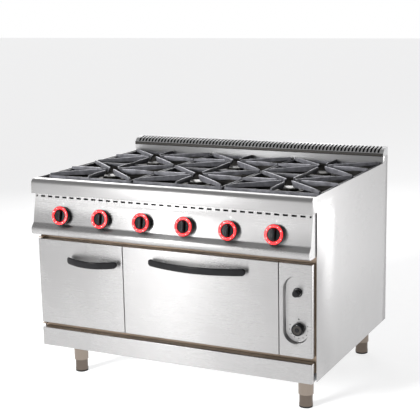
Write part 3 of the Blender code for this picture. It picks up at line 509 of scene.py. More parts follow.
def well(centre):
    """Rings of rounded rectangles: the cell's border, the rim's fold, the sloping wall, the
    floor's fold, a shallow groove round the burner's seat, and the hole. A fold is a quarter
    circle: its insets and heights follow r (1 - cos a) and r (1 - sin a)."""
    rings = [(*CELL, 0.0, DECK), (CELL[0] - 0.007, CELL[1] - 0.008, RIM_CORNER, DECK)]
    for turn in np.linspace(0.0, math.pi / 2, 5):
        inwards, down = RIM_FOLD * math.sin(turn), RIM_FOLD * (1 - math.cos(turn))
        rings.append((RIM_HALF[0] - inwards, RIM_HALF[1] - inwards, RIM_CORNER, DECK - down))
    for turn in np.linspace(0.0, math.pi / 2, 5):
        inwards, up = FLOOR_FOLD * (1 - math.cos(turn)), FLOOR_FOLD * (1 - math.sin(turn))
        rings.append(
            (FLOOR_HALF[0] - inwards, FLOOR_HALF[1] - inwards, FLOOR_CORNER, WELL_FLOOR + up))
    rings += [(0.172, 0.154, FLOOR_CORNER, WELL_FLOOR), (0.075, 0.075, 0.075, WELL_FLOOR - 0.0008)]
    rings += [(radius, radius, radius, WELL_FLOOR) for radius in (0.070, 0.066, 0.031)]
    points = rings_up(rings, 7)
    # The cell's border is still worktop; from the rim's fold inwards the sheet is near-black,
    # painted shade
    border = grid(points[:2], close_columns=True)
    bowl = grid(points[1:], close_columns=True, finish=1)
    return [shifted(part, offset=(*centre, 0.0)) for part in (border, bowl)]


cells_front = CENTRES[0, 1] - CELL[1] - FRONT
cells_back = CENTRES[3, 1] + CELL[1] - FRONT
deck_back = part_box("worktop")[1].y - FRONT
cells_half = CENTRES[2, 0] + CELL[0]
edge = [(0.045, SKIRT), (0.0, SKIRT)]
front_profile = np.concatenate([
    soften(np.concatenate([edge, nose()[1:2]]), 0.002), nose()[2:],
    soften([(0.040, CROWN), (0.046, CROWN), (0.058, DECK), (cells_front, DECK)], 0.004)])
parts = [strip(front_profile, -HALF, HALF)]
for centre in CENTRES:
    parts += well(centre)
parts += [strip([(cells_back, DECK), (deck_back, DECK)], -HALF, HALF)]
for side in (-1, 1):
    parts.append(strip(
        [(cells_front, DECK), (cells_back, DECK)], *sorted((side * cells_half, side * HALF))))
piece("worktop_pressed_sheet", parts, [steel_deck, steel_dark_and_painted_shade], "root", ["worktop"],
      wall=DECK_SHEET, facing=(0.0, FRONT - 0.5, 3.0))
print("wells are", round((DECK - WELL_FLOOR) * 1000, 1), "mm deep")

# %% [markdown]
# ## Side panels
# Each side is one flat sheet whose front top corner follows the rounded worktop edge, and
# whose back top corner rises to the flue. It could be cut from a slab with a boolean. But every
# height has one front and one back, so the sheet is straight lines between those two edges,
# and needs no cutting.
# %% Side panels
BODY_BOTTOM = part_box("right_side_panel")[0].z
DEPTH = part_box("right_side_panel")[1].y - FRONT
SIDE_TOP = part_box("right_side_panel")[1].z
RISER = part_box("flue_duct")[0].y - FRONT
HALF_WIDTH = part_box("right_side_panel")[1].x
SIDE_FRONT = 0.050


def side_sheet(side):
    """Set-back by height grid. The first column follows the rounded edge; faces in front of
    the fascia's return and above the deck in front of the riser are left out."""
    curve = nose()
    heights = np.concatenate([[BODY_BOTTOM, SKIRT - 0.30, SKIRT], curve[:, 1], [SIDE_TOP]])
    fronts = np.concatenate([[0.0, 0.0, 0.0], curve[:, 0], [curve[-1, 0]]])
    columns = np.array([0.0, SIDE_FRONT, 0.25, 0.45, 0.65, RISER, DEPTH])
    points = np.zeros((len(heights), len(columns), 3))
    points[..., 0] = side * HALF_WIDTH
    points[..., 1] = at(np.tile(columns, (len(heights), 1)))
    points[:, 0, 1] = at(fronts)
    points[..., 2] = heights[:, None]
    keep = np.ones((len(heights) - 1, len(columns) - 1), bool)
    keep[:2, 0] = False
    keep[-1, :-1] = False
    return grid(points, keep=keep)


for side, name in ((-1, "left"), (1, "right")):
    piece(f"{name}_side_sheet", [side_sheet(side)], [steel_side], "root",
          [f"{name}_side_panel"], wall=SIDE_SHEET, hem=0.0006,
          facing=(side * 9.0, 0.0, 0.5))
print("side panels are", round((DEPTH - SIDE_FRONT) * 1000), "mm deep")

# %% [markdown]
# ## Control panel
# The fascia leans back, turns under in a rounded roll and is folded in at its ends. A row of
# slots lets cooling air in above the knobs. Booleans would cut them, but leave messy faces. On
# a grid whose lines fall on the slots' edges, the faces of each slot are just left out.
# %% Control panel sheet
FASCIA_TOP, FASCIA_FOOT = np.array([0.0225, 0.7955]), np.array([-0.001, 0.6735])
FASCIA_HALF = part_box("control_panel")[1].x
ROLL_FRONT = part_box("control_panel")[0].y - FRONT
ROLL_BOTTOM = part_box("control_panel")[0].z
PANEL_BACK = 0.050
ROLL_MIDDLE = 0.645
SLOT_PITCH, SLOT_COUNT, SLOT_HALF = 0.0338, 34, (0.0104, 0.0034)
SLOT_Z, END_SLOT_X, END_SLOT_HALF = 0.780, 0.587, 0.004
tilt = math.atan2(*(FASCIA_TOP - FASCIA_FOOT))
print("the fascia leans back by", round(math.degrees(tilt), 1), "degrees")


def fascia():
    """Profile by X grid: the sloping face with slots left out, then the roll below it. Behind
    its front the roll is r (1 - sin(turn) ** 0.55), a curve flatter in front than a circle."""
    centres = (np.arange(SLOT_COUNT) - (SLOT_COUNT - 1) / 2) * SLOT_PITCH
    centres = np.concatenate([[-END_SLOT_X], centres, [END_SLOT_X]])
    half = np.concatenate([[END_SLOT_HALF], np.full(SLOT_COUNT, SLOT_HALF[0]), [END_SLOT_HALF]])
    edges_x = np.stack([centres - half, centres + half], axis=1).ravel()
    x = np.concatenate([[-FASCIA_HALF], edges_x, [FASCIA_HALF]])
    slope = (FASCIA_TOP - FASCIA_FOOT) / (FASCIA_TOP[1] - FASCIA_FOOT[1])
    edges = [FASCIA_FOOT + slope * (z - FASCIA_FOOT[1])
             for z in (SLOT_Z + SLOT_HALF[1], SLOT_Z - SLOT_HALF[1])]
    radius = ROLL_MIDDLE - ROLL_BOTTOM
    turn = np.radians(np.linspace(35, 180, 18))
    roll = np.stack([ROLL_FRONT + radius * (1 - np.sin(turn) ** 0.55),
                     ROLL_MIDDLE + radius * np.cos(turn)], axis=-1)
    fold = soften([edges[1], FASCIA_FOOT, roll[1]], 0.004)
    profile = np.concatenate(
        [[FASCIA_TOP], edges[:1], fold, roll[2:], [[PANEL_BACK, ROLL_BOTTOM]]])
    points = np.zeros((len(profile), len(x), 3))
    points[..., 0] = x
    points[..., 1] = at(profile[:, :1])
    points[..., 2] = profile[:, 1:]
    keep = np.ones((len(profile) - 1, len(x) - 1), bool)
    keep[1, 1::2] = False
    return grid(points, keep=keep), profile


def end_cap(profile, x, back):
    """A flat end at one X, between a profile and a straight line at the set-back called back.
    On the left its columns change places, so that its faces also look outwards."""
    cap = np.zeros((len(profile), 2, 3))
    cap[..., 0] = x
    cap[:, 0, 1], cap[:, 1, 1] = at(profile[:, 0]), at(back)
    cap[..., 2] = profile[:, 1:]
    return grid(cap if x > 0 else cap[:, ::-1])


face, profile = fascia()
# A near-black strip, painted shade, closes off the view through the slots
backing = [(0.028, 0.7700), (0.030, 0.7900)]
parts = [face, (*strip(backing, -FASCIA_HALF + 0.002, FASCIA_HALF - 0.002)[:2], 1)]
parts += [end_cap(profile, side * FASCIA_HALF, PANEL_BACK) for side in (-1, 1)]
piece("control_panel_sheet", parts, [steel_front, painted_shade_backing], "root", ["control_panel"],
      wall=PANEL_SHEET, facing=(0.0, FRONT - 5.0, 0.9), crease=40.0)
print("fascia slots:", SLOT_COUNT, "and two square end ones")


# %% [markdown]
# ## Doors, kick panel and oven control plate
# These are pans: a flat face whose edges are folded back with a 2 mm radius. Rings of rounded
# rectangles describe such a pan, from its back rim round the fold to the middle of its face.
# A bevelled box would look alike in front, but has no hollow behind for an open door to show.
# One extra ring just inside the fold keeps the face truly flat, so its reflection stays calm.
# The oven door's lower flange has two notches, because the hinge's lugs pass through it.
# %% Pans
PAN_FOLD, PAN_CORNER, LEAST_CORNER = 0.002, 0.0015, 0.0004
IN_FRONT = (0.0, FRONT - 9.0, 0.4)


def folded_rim(y_front, depth, flat_from):
    """(Inset, Y) of each ring, from the back rim round the fold on to the flat face: r (1 -
    cos a) inside the rim and r (1 - sin a) behind the face."""
    turn = np.linspace(0.0, math.pi / 2, 5)
    rings = [(0.0, y_front + depth)]
    rings += [(PAN_FOLD * (1 - math.cos(a)), y_front + PAN_FOLD * (1 - math.sin(a)))
              for a in turn]
    return rings + [(flat_from, y_front)]


def pan(x_range, z_range, y_front, depth, rear_lip=0.0, notches=()):
    """A folded pan between two X and two Z values, with its face at y_front. Notches are X
    ranges where the bottom flange is left out, so that a hinge lug can pass."""
    centre = ((x_range[0] + x_range[1]) / 2, (z_range[0] + z_range[1]) / 2)
    half_x, half_z = (x_range[1] - x_range[0]) / 2, (z_range[1] - z_range[0]) / 2
    rings = folded_rim(y_front, depth, PAN_FOLD + 0.0012)
    outline = [loop(half_x - inset, half_z - inset, max(PAN_CORNER - inset, LEAST_CORNER), 4)
               for inset, _ in rings]
    depths = [y for _, y in rings]
    if rear_lip:
        outline.insert(0, loop(half_x - rear_lip, half_z - rear_lip, PAN_CORNER, 4))
        depths.insert(0, y_front + depth)
    # Points at the notches' edges follow the last point of the lower left corner
    cuts = np.sort(np.ravel(notches)) - centre[0]
    bottom_left = 15
    outline = [np.insert(line, [bottom_left] * len(cuts), np.stack(
        [cuts, np.full(len(cuts), line[:, 1].min())], axis=-1), axis=0) for line in outline]
    # The face closes on a line along its middle, or on its centre if it is taller than wide
    reach = max(half_x - half_z, 0.0)
    outline.append(np.clip(outline[-1] * [1.0, 0.0], -reach, reach))
    depths.append(y_front)
    points = np.zeros((len(outline), len(outline[0]), 3))
    points[..., 0] = np.stack(outline)[..., 0] + centre[0]
    points[..., 2] = np.stack(outline)[..., 1] + centre[1]
    points[..., 1] = np.array(depths)[:, None]
    keep = np.ones((len(outline) - 1, len(outline[0])), bool)
    keep[0, bottom_left:bottom_left + len(cuts):2] = False
    return grid(points, close_columns=True, keep=keep)


def ranges(node):
    """X range, Z range, front Y and depth of a CAD node."""
    low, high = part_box(node)
    return (low.x, high.x), (low.z, high.z), low.y, high.y - low.y


LUG_CENTRES, LUG_HALF = (-0.182, 0.446), 0.005
LUG_SLOTS = [(x - LUG_HALF, x + LUG_HALF) for x in LUG_CENTRES]
for node, body, rear_lip, notches in (
        ("cabinet_door", "cabinet_door", 0.012, ()), ("oven_door", "oven_door", 0.0, LUG_SLOTS),
        ("kick_panel", "root", 0.010, ())):
    piece(f"{node}_pan", [pan(*ranges(node), rear_lip, notches)], [steel_front], body, [node],
          wall=PANEL_SHEET, facing=IN_FRONT, crease=40.0)
print("oven door is", round(ranges("oven_door")[0][1] - ranges("oven_door")[0][0], 3), "m wide")

# %% [markdown]
# The oven's control plate has a pocket with round ends pressed into it, so that the button and
# the thermostat stand behind the face. A boolean would sink it with sharp edges, but pressed
# sheet has none. So the rings start at the plate's border and change to the pocket's outline,
# with a small radius at the lip and a larger one at the floor.
# %% Oven control plate
POCKET_MIDDLE, POCKET_HALF_X, POCKET_HALF_Z = np.array([0.528, 0.4275]), 0.048, 0.1275
LIP_FOLD, FLOOR_BEND = 0.002, 0.005
PLATE_X, PLATE_Z, PLATE_Y = ranges("control_plate")[:3]
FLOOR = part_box("thermostat_knob")[1].y + CLEARANCE


def control_plate():
    """The folded rim, the flat face, then the pocket's lip, wall and floor as rings. The lip
    and the bend at the floor are quarter circles, one convex and one concave."""
    half_x, half_z = (PLATE_X[1] - PLATE_X[0]) / 2, (PLATE_Z[1] - PLATE_Z[0]) / 2
    centre = np.array([(PLATE_X[0] + PLATE_X[1]) / 2, (PLATE_Z[0] + PLATE_Z[1]) / 2])
    rings = [(loop(half_x - inset, half_z - inset, LEAST_CORNER, 9) + centre, y)
             for inset, y in folded_rim(PLATE_Y, 0.030, 0.0034)]
    turn = np.linspace(0.0, math.pi / 2, 5)
    steps = [(-0.003, PLATE_Y)]
    steps += [(LIP_FOLD * (math.sin(a) - 1), PLATE_Y + LIP_FOLD * (1 - math.cos(a)))
              for a in turn]
    steps += [(0.001 + FLOOR_BEND * (1 - math.cos(a)), FLOOR - FLOOR_BEND * (1 - math.sin(a)))
              for a in turn]
    steps += [(0.008, FLOOR), (POCKET_HALF_X - 0.001, FLOOR)]
    for inset, y in steps:
        half = POCKET_HALF_X - inset
        rings.append((loop(half, POCKET_HALF_Z - inset, half - 1e-5, 9) + POCKET_MIDDLE, y))
    points = np.zeros((len(rings), len(rings[0][0]), 3))
    points[..., [0, 2]] = np.stack([outline for outline, _ in rings])
    points[..., 1] = np.array([y for _, y in rings])[:, None]
    # The floor closes on a line along the pocket's middle
    last = np.stack([points[-1], points[-1]])
    last[1, :, 0] = POCKET_MIDDLE[0]
    return [grid(points, close_columns=True), grid(last, close_columns=True)]


piece("oven_control_plate", control_plate(), [steel_front], "root", ["control_plate"],
      wall=PLATE_SHEET, facing=IN_FRONT, crease=40.0)
print("the pocket is", round((FLOOR - PLATE_Y) * 1000, 1), "mm deep")

# %% [markdown]
# ## Flue grille
# Hot gas leaves through narrow slots that run from the sloping front over the nearly flat top.
# There are about seventy, so each one has to be cheap: again the grid's lines fall on their
# edges and the faces between are left out. A slot then costs only the wall that Solidify adds.
# %% Flue grille
GRILLE_LOW, GRILLE_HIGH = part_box("flue_grille")


GRILLE_PITCH, GRILLE_SLOTS, SLOT_SHARE = 0.0165, 71, 0.54
BAND, GRILLE_BACK = GRILLE_LOW.y - FRONT, GRILLE_HIGH.y - FRONT


def grille():
    """Cap profile (band, sloping front, top, back) by X, with the slots' faces left out."""
    centres = (np.arange(GRILLE_SLOTS) - (GRILLE_SLOTS - 1) / 2) * GRILLE_PITCH
    half = GRILLE_PITCH * SLOT_SHARE / 2
    lines = np.stack([centres - half, centres + half], axis=1).ravel()
    x = np.concatenate([[-GRILLE_HIGH.x], lines, [GRILLE_HIGH.x]])
    bottom, top = GRILLE_LOW.z, GRILLE_HIGH.z
    profile = np.array([
        (BAND, bottom), (BAND, 0.8885), (BAND + 0.0012, 0.8912), (BAND + 0.003, 0.8935),
        (BAND + 0.0155, 0.9050), (BAND + 0.0175, 0.9062), (GRILLE_BACK - 0.008, top - 0.0009),
        (GRILLE_BACK, top - 0.0003), (GRILLE_BACK, bottom)])
    points = np.zeros((len(profile), len(x), 3))
    points[..., 0] = x
    points[..., 1] = at(profile[:, :1])
    points[..., 2] = profile[:, 1:]
    keep = np.ones((len(profile) - 1, len(x) - 1), bool)
    keep[3:6, 1::2] = False
    # The plain band under the slots is darkened: a painted shadow line between the cap and the
    # riser
    return [grid(points[:3], keep=keep[:2], finish=2), grid(points[2:], keep=keep[2:])], profile


face, cap_profile = grille()
# The baffle behind the slots is the near-black backing, painted shade, so that the slots read as
# holes.
baffle = [(BAND + 0.004, 0.8870), (BAND + 0.008, 0.8925), (BAND + 0.020, 0.9010),
          (GRILLE_BACK - 0.004, 0.9090)]
parts = face + [(*strip(baffle, -GRILLE_HIGH.x + 0.003, GRILLE_HIGH.x - 0.003)[:2], 1)]
parts += [end_cap(cap_profile, side * GRILLE_HIGH.x, GRILLE_BACK) for side in (-1, 1)]
piece("flue_grille_cap", parts, [steel_riser, painted_shade_backing, steel_dark_and_painted_shade], "root", ["flue_grille"],
      wall=PANEL_SHEET, facing=(0.0, FRONT - 2.0, 6.0), crease=25.0)
print("flue slots:", GRILLE_SLOTS)

# %% [markdown]
# ## Grates
# Each grate is one iron casting: a square frame with eight fins that reach in over the burner.
# A fin is deepest near its tip, where it carries the pan, and thins towards the frame. Castings
# need draft, so every bar is narrower at its top. A subdivided cage would make the bars too
# round, so a fin is a section carried from tip to frame while its top, bottom and width change.
# %% Grates
FRAME_TOP = GRATE_TOP - 0.0115
FRAME_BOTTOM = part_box("grate_1")[0].z
FRAME_BAR = 0.012
# A fin's half width at its foot and its top, and the radius of its edges
FIN_FOOT, FIN_TOP, FIN_EDGE = 0.0040, 0.0023, 0.0008
SIDE_TIP, CORNER_TIP = 0.050, 0.026


def bar_section(low, high, half_low, half_high, edge):
    """Section of a cast bar: wide foot, narrower top, all four edges rounded."""
    corners = [(half_low, low), (half_high, high), (-half_high, high), (-half_low, low)]
    return soften(corners, edge, 2, closed=True)


def fin(angle, tip, outer):
    """Loft from tip to frame, at an angle about the burner. Top, depth and width are straight
    lines between given distances; the underside drops fast behind the tip and then rises."""
    along = np.array([tip, tip + 0.001, tip + 0.004, tip + 0.020, tip + 0.026, tip + 0.050,
                      (tip + outer) / 2 + 0.01, outer - 0.050, outer - 0.010, outer])
    depth = np.interp(along, [tip, tip + 0.004, tip + 0.018, tip + 0.022, outer - 0.050, outer],
                      [0.003, 0.0075, 0.0225, 0.0235, 0.0145, 0.0125])
    top = GRATE_TOP - np.interp(along, [tip, tip + 0.001, tip + 0.004, outer - 0.060, outer],
                                [0.0015, 0.0004, 0.0, 0.0, 0.0030])
    width = np.interp(along, [tip, tip + 0.001, tip + 0.004, outer], [0.6, 0.9, 1.0, 1.0])
    sections = np.stack([
        bar_section(high - deep, high, FIN_FOOT * wide, FIN_TOP * wide, FIN_EDGE)
        for high, deep, wide in zip(top, depth, width)])
    direction = np.array([math.cos(angle), math.sin(angle), 0.0])
    side = np.array([-math.sin(angle), math.cos(angle), 0.0])
    # The two end sections close on their own middle
    ends = sections[[0, -1]].mean(axis=1, keepdims=True) + sections[[0, -1]] * 0.0
    sections = np.concatenate([ends[:1], sections, ends[1:]])
    reach = np.concatenate([along[:1], along, along[-1:]])
    return carry(sections, reach[:, None] * direction, side, (0.0, 0.0, 1.0))


def grate_parts():
    """A frame, four side fins and four corner fins, all about the burner's axis."""
    low, high = GRATES[0]
    half = np.array([(high.x - low.x) / 2, (high.y - low.y) / 2])
    outline = loop(*half, 0.012, 4)
    inner = loop(*(half - FRAME_BAR), 0.008, 4)
    middle = (outline + inner) / 2
    side = (outline - inner) / np.linalg.norm(outline - inner, axis=1, keepdims=True)
    section = bar_section(FRAME_BOTTOM, FRAME_TOP, FRAME_BAR / 2, FRAME_BAR / 2 - 0.0012, 0.002)
    path = np.concatenate([middle, np.zeros((len(middle), 1))], axis=1)
    out = np.concatenate([side, np.zeros((len(side), 1))], axis=1)
    parts = [carry(section, path, out, (0.0, 0.0, 1.0), closed=True)]
    corner = math.hypot(*half)
    slant = math.atan2(half[1], half[0])
    for angle, tip, limit in (
            (0.0, SIDE_TIP, half[0] - 0.001), (slant, CORNER_TIP, corner - FRAME_BAR),
            (math.pi / 2, SIDE_TIP, half[1] - 0.001),
            (math.pi - slant, CORNER_TIP, corner - FRAME_BAR)):
        parts += [fin(angle + turn, tip, limit) for turn in (0.0, math.pi)]
    return parts


shape = grate_parts()
for number, (x, y) in enumerate(CENTRES, start=1):
    parts = [shifted(part, offset=(x, y, 0.0)) for part in shape]
    piece(f"grate_cast_{number}", parts, [iron], f"grate_{number}", [f"grate_{number}"],
          crease=38.0)
print("a grate has", pieces_made["grate_cast_1"], "faces")

# %% [markdown]
# ## Burners
# A cast body stands in each well and carries a ring of flame ports, with a loose cap on top.
# The ports are what makes it read as a burner. Drilling them with booleans is slow, so the ring
# is a lathe shape whose radius also dips with the angle, forty-eight times a turn.
# %% Burner bodies and caps
def ported(profile, ports, depth, around):
    """A lathe shape whose marked rows are scalloped: r = r0 - depth * mark * ridge(angle)."""
    profile = np.array(profile, float)
    angle = np.linspace(0.0, math.tau, around, endpoint=False)
    ridge = (np.cos(ports * angle) > 0.2).astype(float)
    radius = profile[:, :1] - depth * profile[:, 2:3] * ridge
    points = np.stack([radius * np.cos(angle), radius * np.sin(angle),
                       np.broadcast_to(profile[:, 1:2], radius.shape)], axis=-1)
    return grid(points, close_columns=True)


PORTS, PORT_DEPTH = 48, 0.0035
TUBE_Z, TUBE_OUT, TUBE_IN = 0.758, 0.013, 0.0108
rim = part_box("burner_1")[1].z
foot_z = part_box("burner_1")[0].z
base = [(0.0, foot_z), (0.021, foot_z), (0.0255, foot_z + 0.004), (0.026, WELL_FLOOR + 0.0003),
        (0.050, WELL_FLOOR + 0.0003), (0.052, WELL_FLOOR + 0.002), (0.0565, rim - 0.0150)]
ring_rows = [(0.0568, rim - 0.0145, 0), (0.0570, rim - 0.0125, 0), (0.0570, rim - 0.0120, 1),
             (0.0570, rim - 0.0050, 1), (0.0570, rim - 0.0045, 0), (0.0562, rim - 0.0015, 0),
             (0.0545, rim, 0), (0.0330, rim, 0), (0.0315, rim - 0.0010, 0),
             (0.0310, rim - 0.0080, 0), (0.0, rim - 0.0080, 0)]
cap_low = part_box("burner_cap_1")[0].z
cap_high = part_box("burner_cap_1")[1].z
cap_rows = soften([(0.0, cap_low), (0.0295, cap_low), (0.0295, cap_low + 0.0058),
                   (0.0378, cap_low + 0.0062), (0.0380, cap_low + 0.0120),
                   (0.0330, cap_low + 0.0165), (0.0160, cap_high - 0.0004), (0.0, cap_high)],
                  0.0012, 3)
turn = np.linspace(0.0, math.tau, 20, endpoint=False)
circle = np.stack([np.cos(turn), np.sin(turn)], axis=-1)
# The tube's outer wall runs to its mouth, turns over the lip and comes back as the bore
bell = np.array([TUBE_OUT, TUBE_OUT, TUBE_OUT, TUBE_OUT, 0.0122, TUBE_IN, TUBE_IN])
for number, (x, y) in enumerate(CENTRES, start=1):
    offset = (x, y, 0.0)
    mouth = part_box(f"burner_{number}")[0].y
    reach = np.array([y - 0.015, mouth + 0.012, mouth + 0.010, mouth + 0.0005, mouth,
                      mouth + 0.0005, y - 0.050])
    path = np.stack([np.full(len(reach), x), reach, np.full(len(reach), TUBE_Z)], axis=-1)
    tube = carry(bell[:, None, None] * circle, path, (1.0, 0.0, 0.0), (0.0, 0.0, 1.0))
    ring = ported(ring_rows, PORTS, PORT_DEPTH, 4 * PORTS)
    piece(f"burner_body_{number}",
          [shifted(lathe(base), offset=offset), shifted(ring, offset=offset), tube],
          [alloy_painted_shade], "root", [f"burner_{number}"])
    piece(f"burner_cap_turned_{number}", [shifted(lathe(cap_rows), offset=offset)], [cap_painted_shade],
          f"burner_cap_{number}", [f"burner_cap_{number}"])
print("burner ring:", round(rim * 1000), "mm up, caps to", round(cap_high * 1000), "mm")

# %% [markdown]
# ## Knobs
# Each tap knob is a black phenolic moulding with a red ring set in its face and a raised grip.
# It is turned about its own axis first and then carried to the fascia, so one set of numbers
# serves for all six. The white marks are printed on the red ring and turn with it.
# %% Knobs
def frame_of(axis):
    """Three columns: across, up the face, and outwards along an axis."""
    out = np.array(axis, float) / np.linalg.norm(axis)
    across = np.cross((0.0, 0.0, 1.0), out)
    across /= np.linalg.norm(across)
    return np.stack([across, np.cross(out, across), out], axis=1)


def disc_marks(radius, angles, size, height, finish):
    """Small raised round marks on a circle: each a shallow dome, ten points round."""
    dome = [(size, 0.0), (size * 0.9, height), (0.0, height * 1.2)]
    mark = lathe(dome, 10, finish)
    return [shifted(mark, offset=(radius * math.cos(a), radius * math.sin(a), 0.0))
            for a in angles]


def knob_parts():
    """Skirt and face by lathe, a red ring in the face, a grip bar and printed marks."""
    body = soften([(0.0, 0.0125), (0.0045, 0.0125), (0.0045, 0.0012), (0.0340, 0.0012),
                   (0.0362, 0.0060), (0.0380, 0.0180), (0.0376, 0.0200), (0.0366, 0.0204),
                   (0.0364, 0.0190), (0.0, 0.0190)], 0.0008, 3)
    ring = soften([(0.0364, 0.0188), (0.0364, 0.0212), (0.0350, 0.0222), (0.0275, 0.0230),
                   (0.0258, 0.0222), (0.0252, 0.0188)], 0.0009, 3, closed=True)
    # The grip: rounded rectangles that shrink towards the top, as a mould needs
    levels = [(0.0188, 0.0086, 0.0236), (0.0225, 0.0084, 0.0234), (0.0285, 0.0076, 0.0222),
              (0.0306, 0.0071, 0.0215), (0.0314, 0.0062, 0.0205), (0.0319, 0.0040, 0.0175),
              (0.0320, 0.0, 0.0)]
    grip = grid(rings_up([(half_x, half_y, min(half_x, 0.0070), z)
                          for z, half_x, half_y in levels], 5), close_columns=True)
    dial = soften([(0.0, 0.0186), (0.0252, 0.0186), (0.0246, 0.0206), (0.0, 0.0196)], 0.0006, 2)
    angles = np.radians([62, 28, -28, -62, 118, 152, 208, 242])
    marks = [shifted(mark, offset=(0.0, 0.0, 0.0226))
             for mark in disc_marks(0.0312, angles, 0.0014, 0.0004, 2)]
    return [lathe(body, 64), lathe(dial, 64), grip, lathe(ring, 64, finish=1)] + marks


knob_shape = knob_parts()
joints = {joint["name"]: joint for joint in frame["joints"]}
for number in range(1, 7):
    joint = joints[f"knob_{number}_turn"]
    turn = frame_of(joint["axis"])
    parts = [shifted(part, turn, joint["pos_m"]) for part in knob_shape]
    piece(f"tap_knob_{number}", parts, [phenolic, red_abs, white_print], f"knob_{number}",
          [f"knob_{number}"])
print("a knob has", pieces_made["tap_knob_1"], "faces")

# %% [markdown]
# A small printed tick above each knob shows where off is. It is part of the fascia and stays
# put while the knob turns. It could be painted by a texture. A thin raised shape keeps its
# edges at any distance, and needs no UV map on the fascia.
# %% Index ticks
TICK, TICK_ABOVE_AXIS = np.array([0.0011, 0.0032, 0.0008]), 0.0490
rows = rings_up([(*TICK * size, z) for size, z in ((1.0, 0.0001), (0.96, 0.0005), (0.0, 0.0005))],
                2)
tick = shifted(grid(rows, close_columns=True), offset=(0.0, TICK_ABOVE_AXIS, 0.0))
knob_joints = [joints[f"knob_{number}_turn"] for number in range(1, 7)]
tick_parts = [shifted(tick, frame_of(joint["axis"]), joint["pos_m"]) for joint in knob_joints]
piece("index_ticks", tick_parts, [white_print], "root")
print("index ticks:", len(tick_parts))

# %% [markdown]
# ## Oven thermostat and igniter
# The thermostat is a smaller knob with a dished metal face. A scale of dots is printed round
# it on the pocket's floor. The igniter is a plain domed button with a collar. All of them are
# round, so a spun profile gives each one exactly, and the knob's flutes are the scallops that
# made the burner's ports.
# %% Oven controls
thermostat = joints["thermostat_turn"]
facing_front = frame_of((0.0, -1.0, 0.0))
body = soften([(0.0, 0.0140), (0.0035, 0.0140), (0.0035, 0.0004), (0.0240, 0.0004),
               (0.0245, 0.0040), (0.0225, 0.0190), (0.0212, 0.0214), (0.0195, 0.0219),
               (0.0178, 0.0205), (0.0, 0.0200)], 0.0010, 3)
hub = soften([(0.0085, 0.0190), (0.0085, 0.0214), (0.0070, 0.0219), (0.0, 0.0217)], 0.0008, 3)
disc = [(0.0, 0.0199), (0.0172, 0.0199), (0.0172, 0.0207), (0.0100, 0.0204), (0.0, 0.0204)]
# Only the rows on the knob's side are fluted, not its foot or its face
flutes = ported([(r, z, 1.0 if 0.003 < z < 0.018 else 0.0) for r, z in body], 18, 0.0006, 144)
pointer = disc_marks(0.0190, [math.pi / 2], 0.0010, 0.0004, 2)[0]
parts = [flutes, lathe(disc, 48, finish=1), lathe([(0.0, 0.0203)] + hub.tolist(), 32),
         shifted(pointer, offset=(0.0, 0.0, 0.0214))]
parts = [shifted(part, facing_front, thermostat["pos_m"]) for part in parts]
piece("thermostat_dial_knob", parts, [phenolic, steel_dark_and_painted_shade, white_print], "thermostat_knob",
      ["thermostat_knob"])

low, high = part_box("igniter_button")
button_at = ((low.x + high.x) / 2, FLOOR, (low.z + high.z) / 2)
button = soften([(0.0, -0.008), (0.0118, -0.008), (0.0118, 0.0), (0.0132, 0.0030), (0.0135, 0.0200),
                 (0.0122, 0.0262), (0.0090, 0.0276), (0.0, 0.0280)], 0.0014, 3)
piece("igniter_push_button", [shifted(lathe(button, 48), facing_front, button_at)], [phenolic],
      "igniter_button", ["igniter_button"])
collar = soften([(0.0142, 0.0), (0.0182, 0.0002), (0.0176, 0.0022), (0.0148, 0.0026)],
                0.0006, 3, closed=True)
scale_marks = disc_marks(0.0365, np.radians(np.arange(-200, 21, 27.5)), 0.0022, 0.0003, 0)
big_mark = disc_marks(0.0370, [math.pi / 2], 0.0032, 0.0004, 0)
scale_at = (thermostat["pos_m"][0], FLOOR - 0.0001, thermostat["pos_m"][2])
scale_parts = [shifted(part, facing_front, scale_at) for part in scale_marks + big_mark]
piece("thermostat_scale", scale_parts, [black_print], "root")
piece("igniter_collar", [shifted(lathe(collar, 48), facing_front, button_at)], [phenolic], "root")
print("thermostat scale marks:", len(scale_parts))


# %% [markdown]
# ## Handles
# Both doors have a black phenolic bar that bows away from the door, on two short pillars. Seen
# from the front the bar's ends are half round, so the section's height follows a circle there
# while its thickness closes more sharply. A bevelled curve would keep one section all along,
# which is why the section is worked out anew at each point of the path.
# %% Handles
SAG, PILLAR_RADIUS, PILLAR_FOOT = 0.005, 0.0065, 0.0088


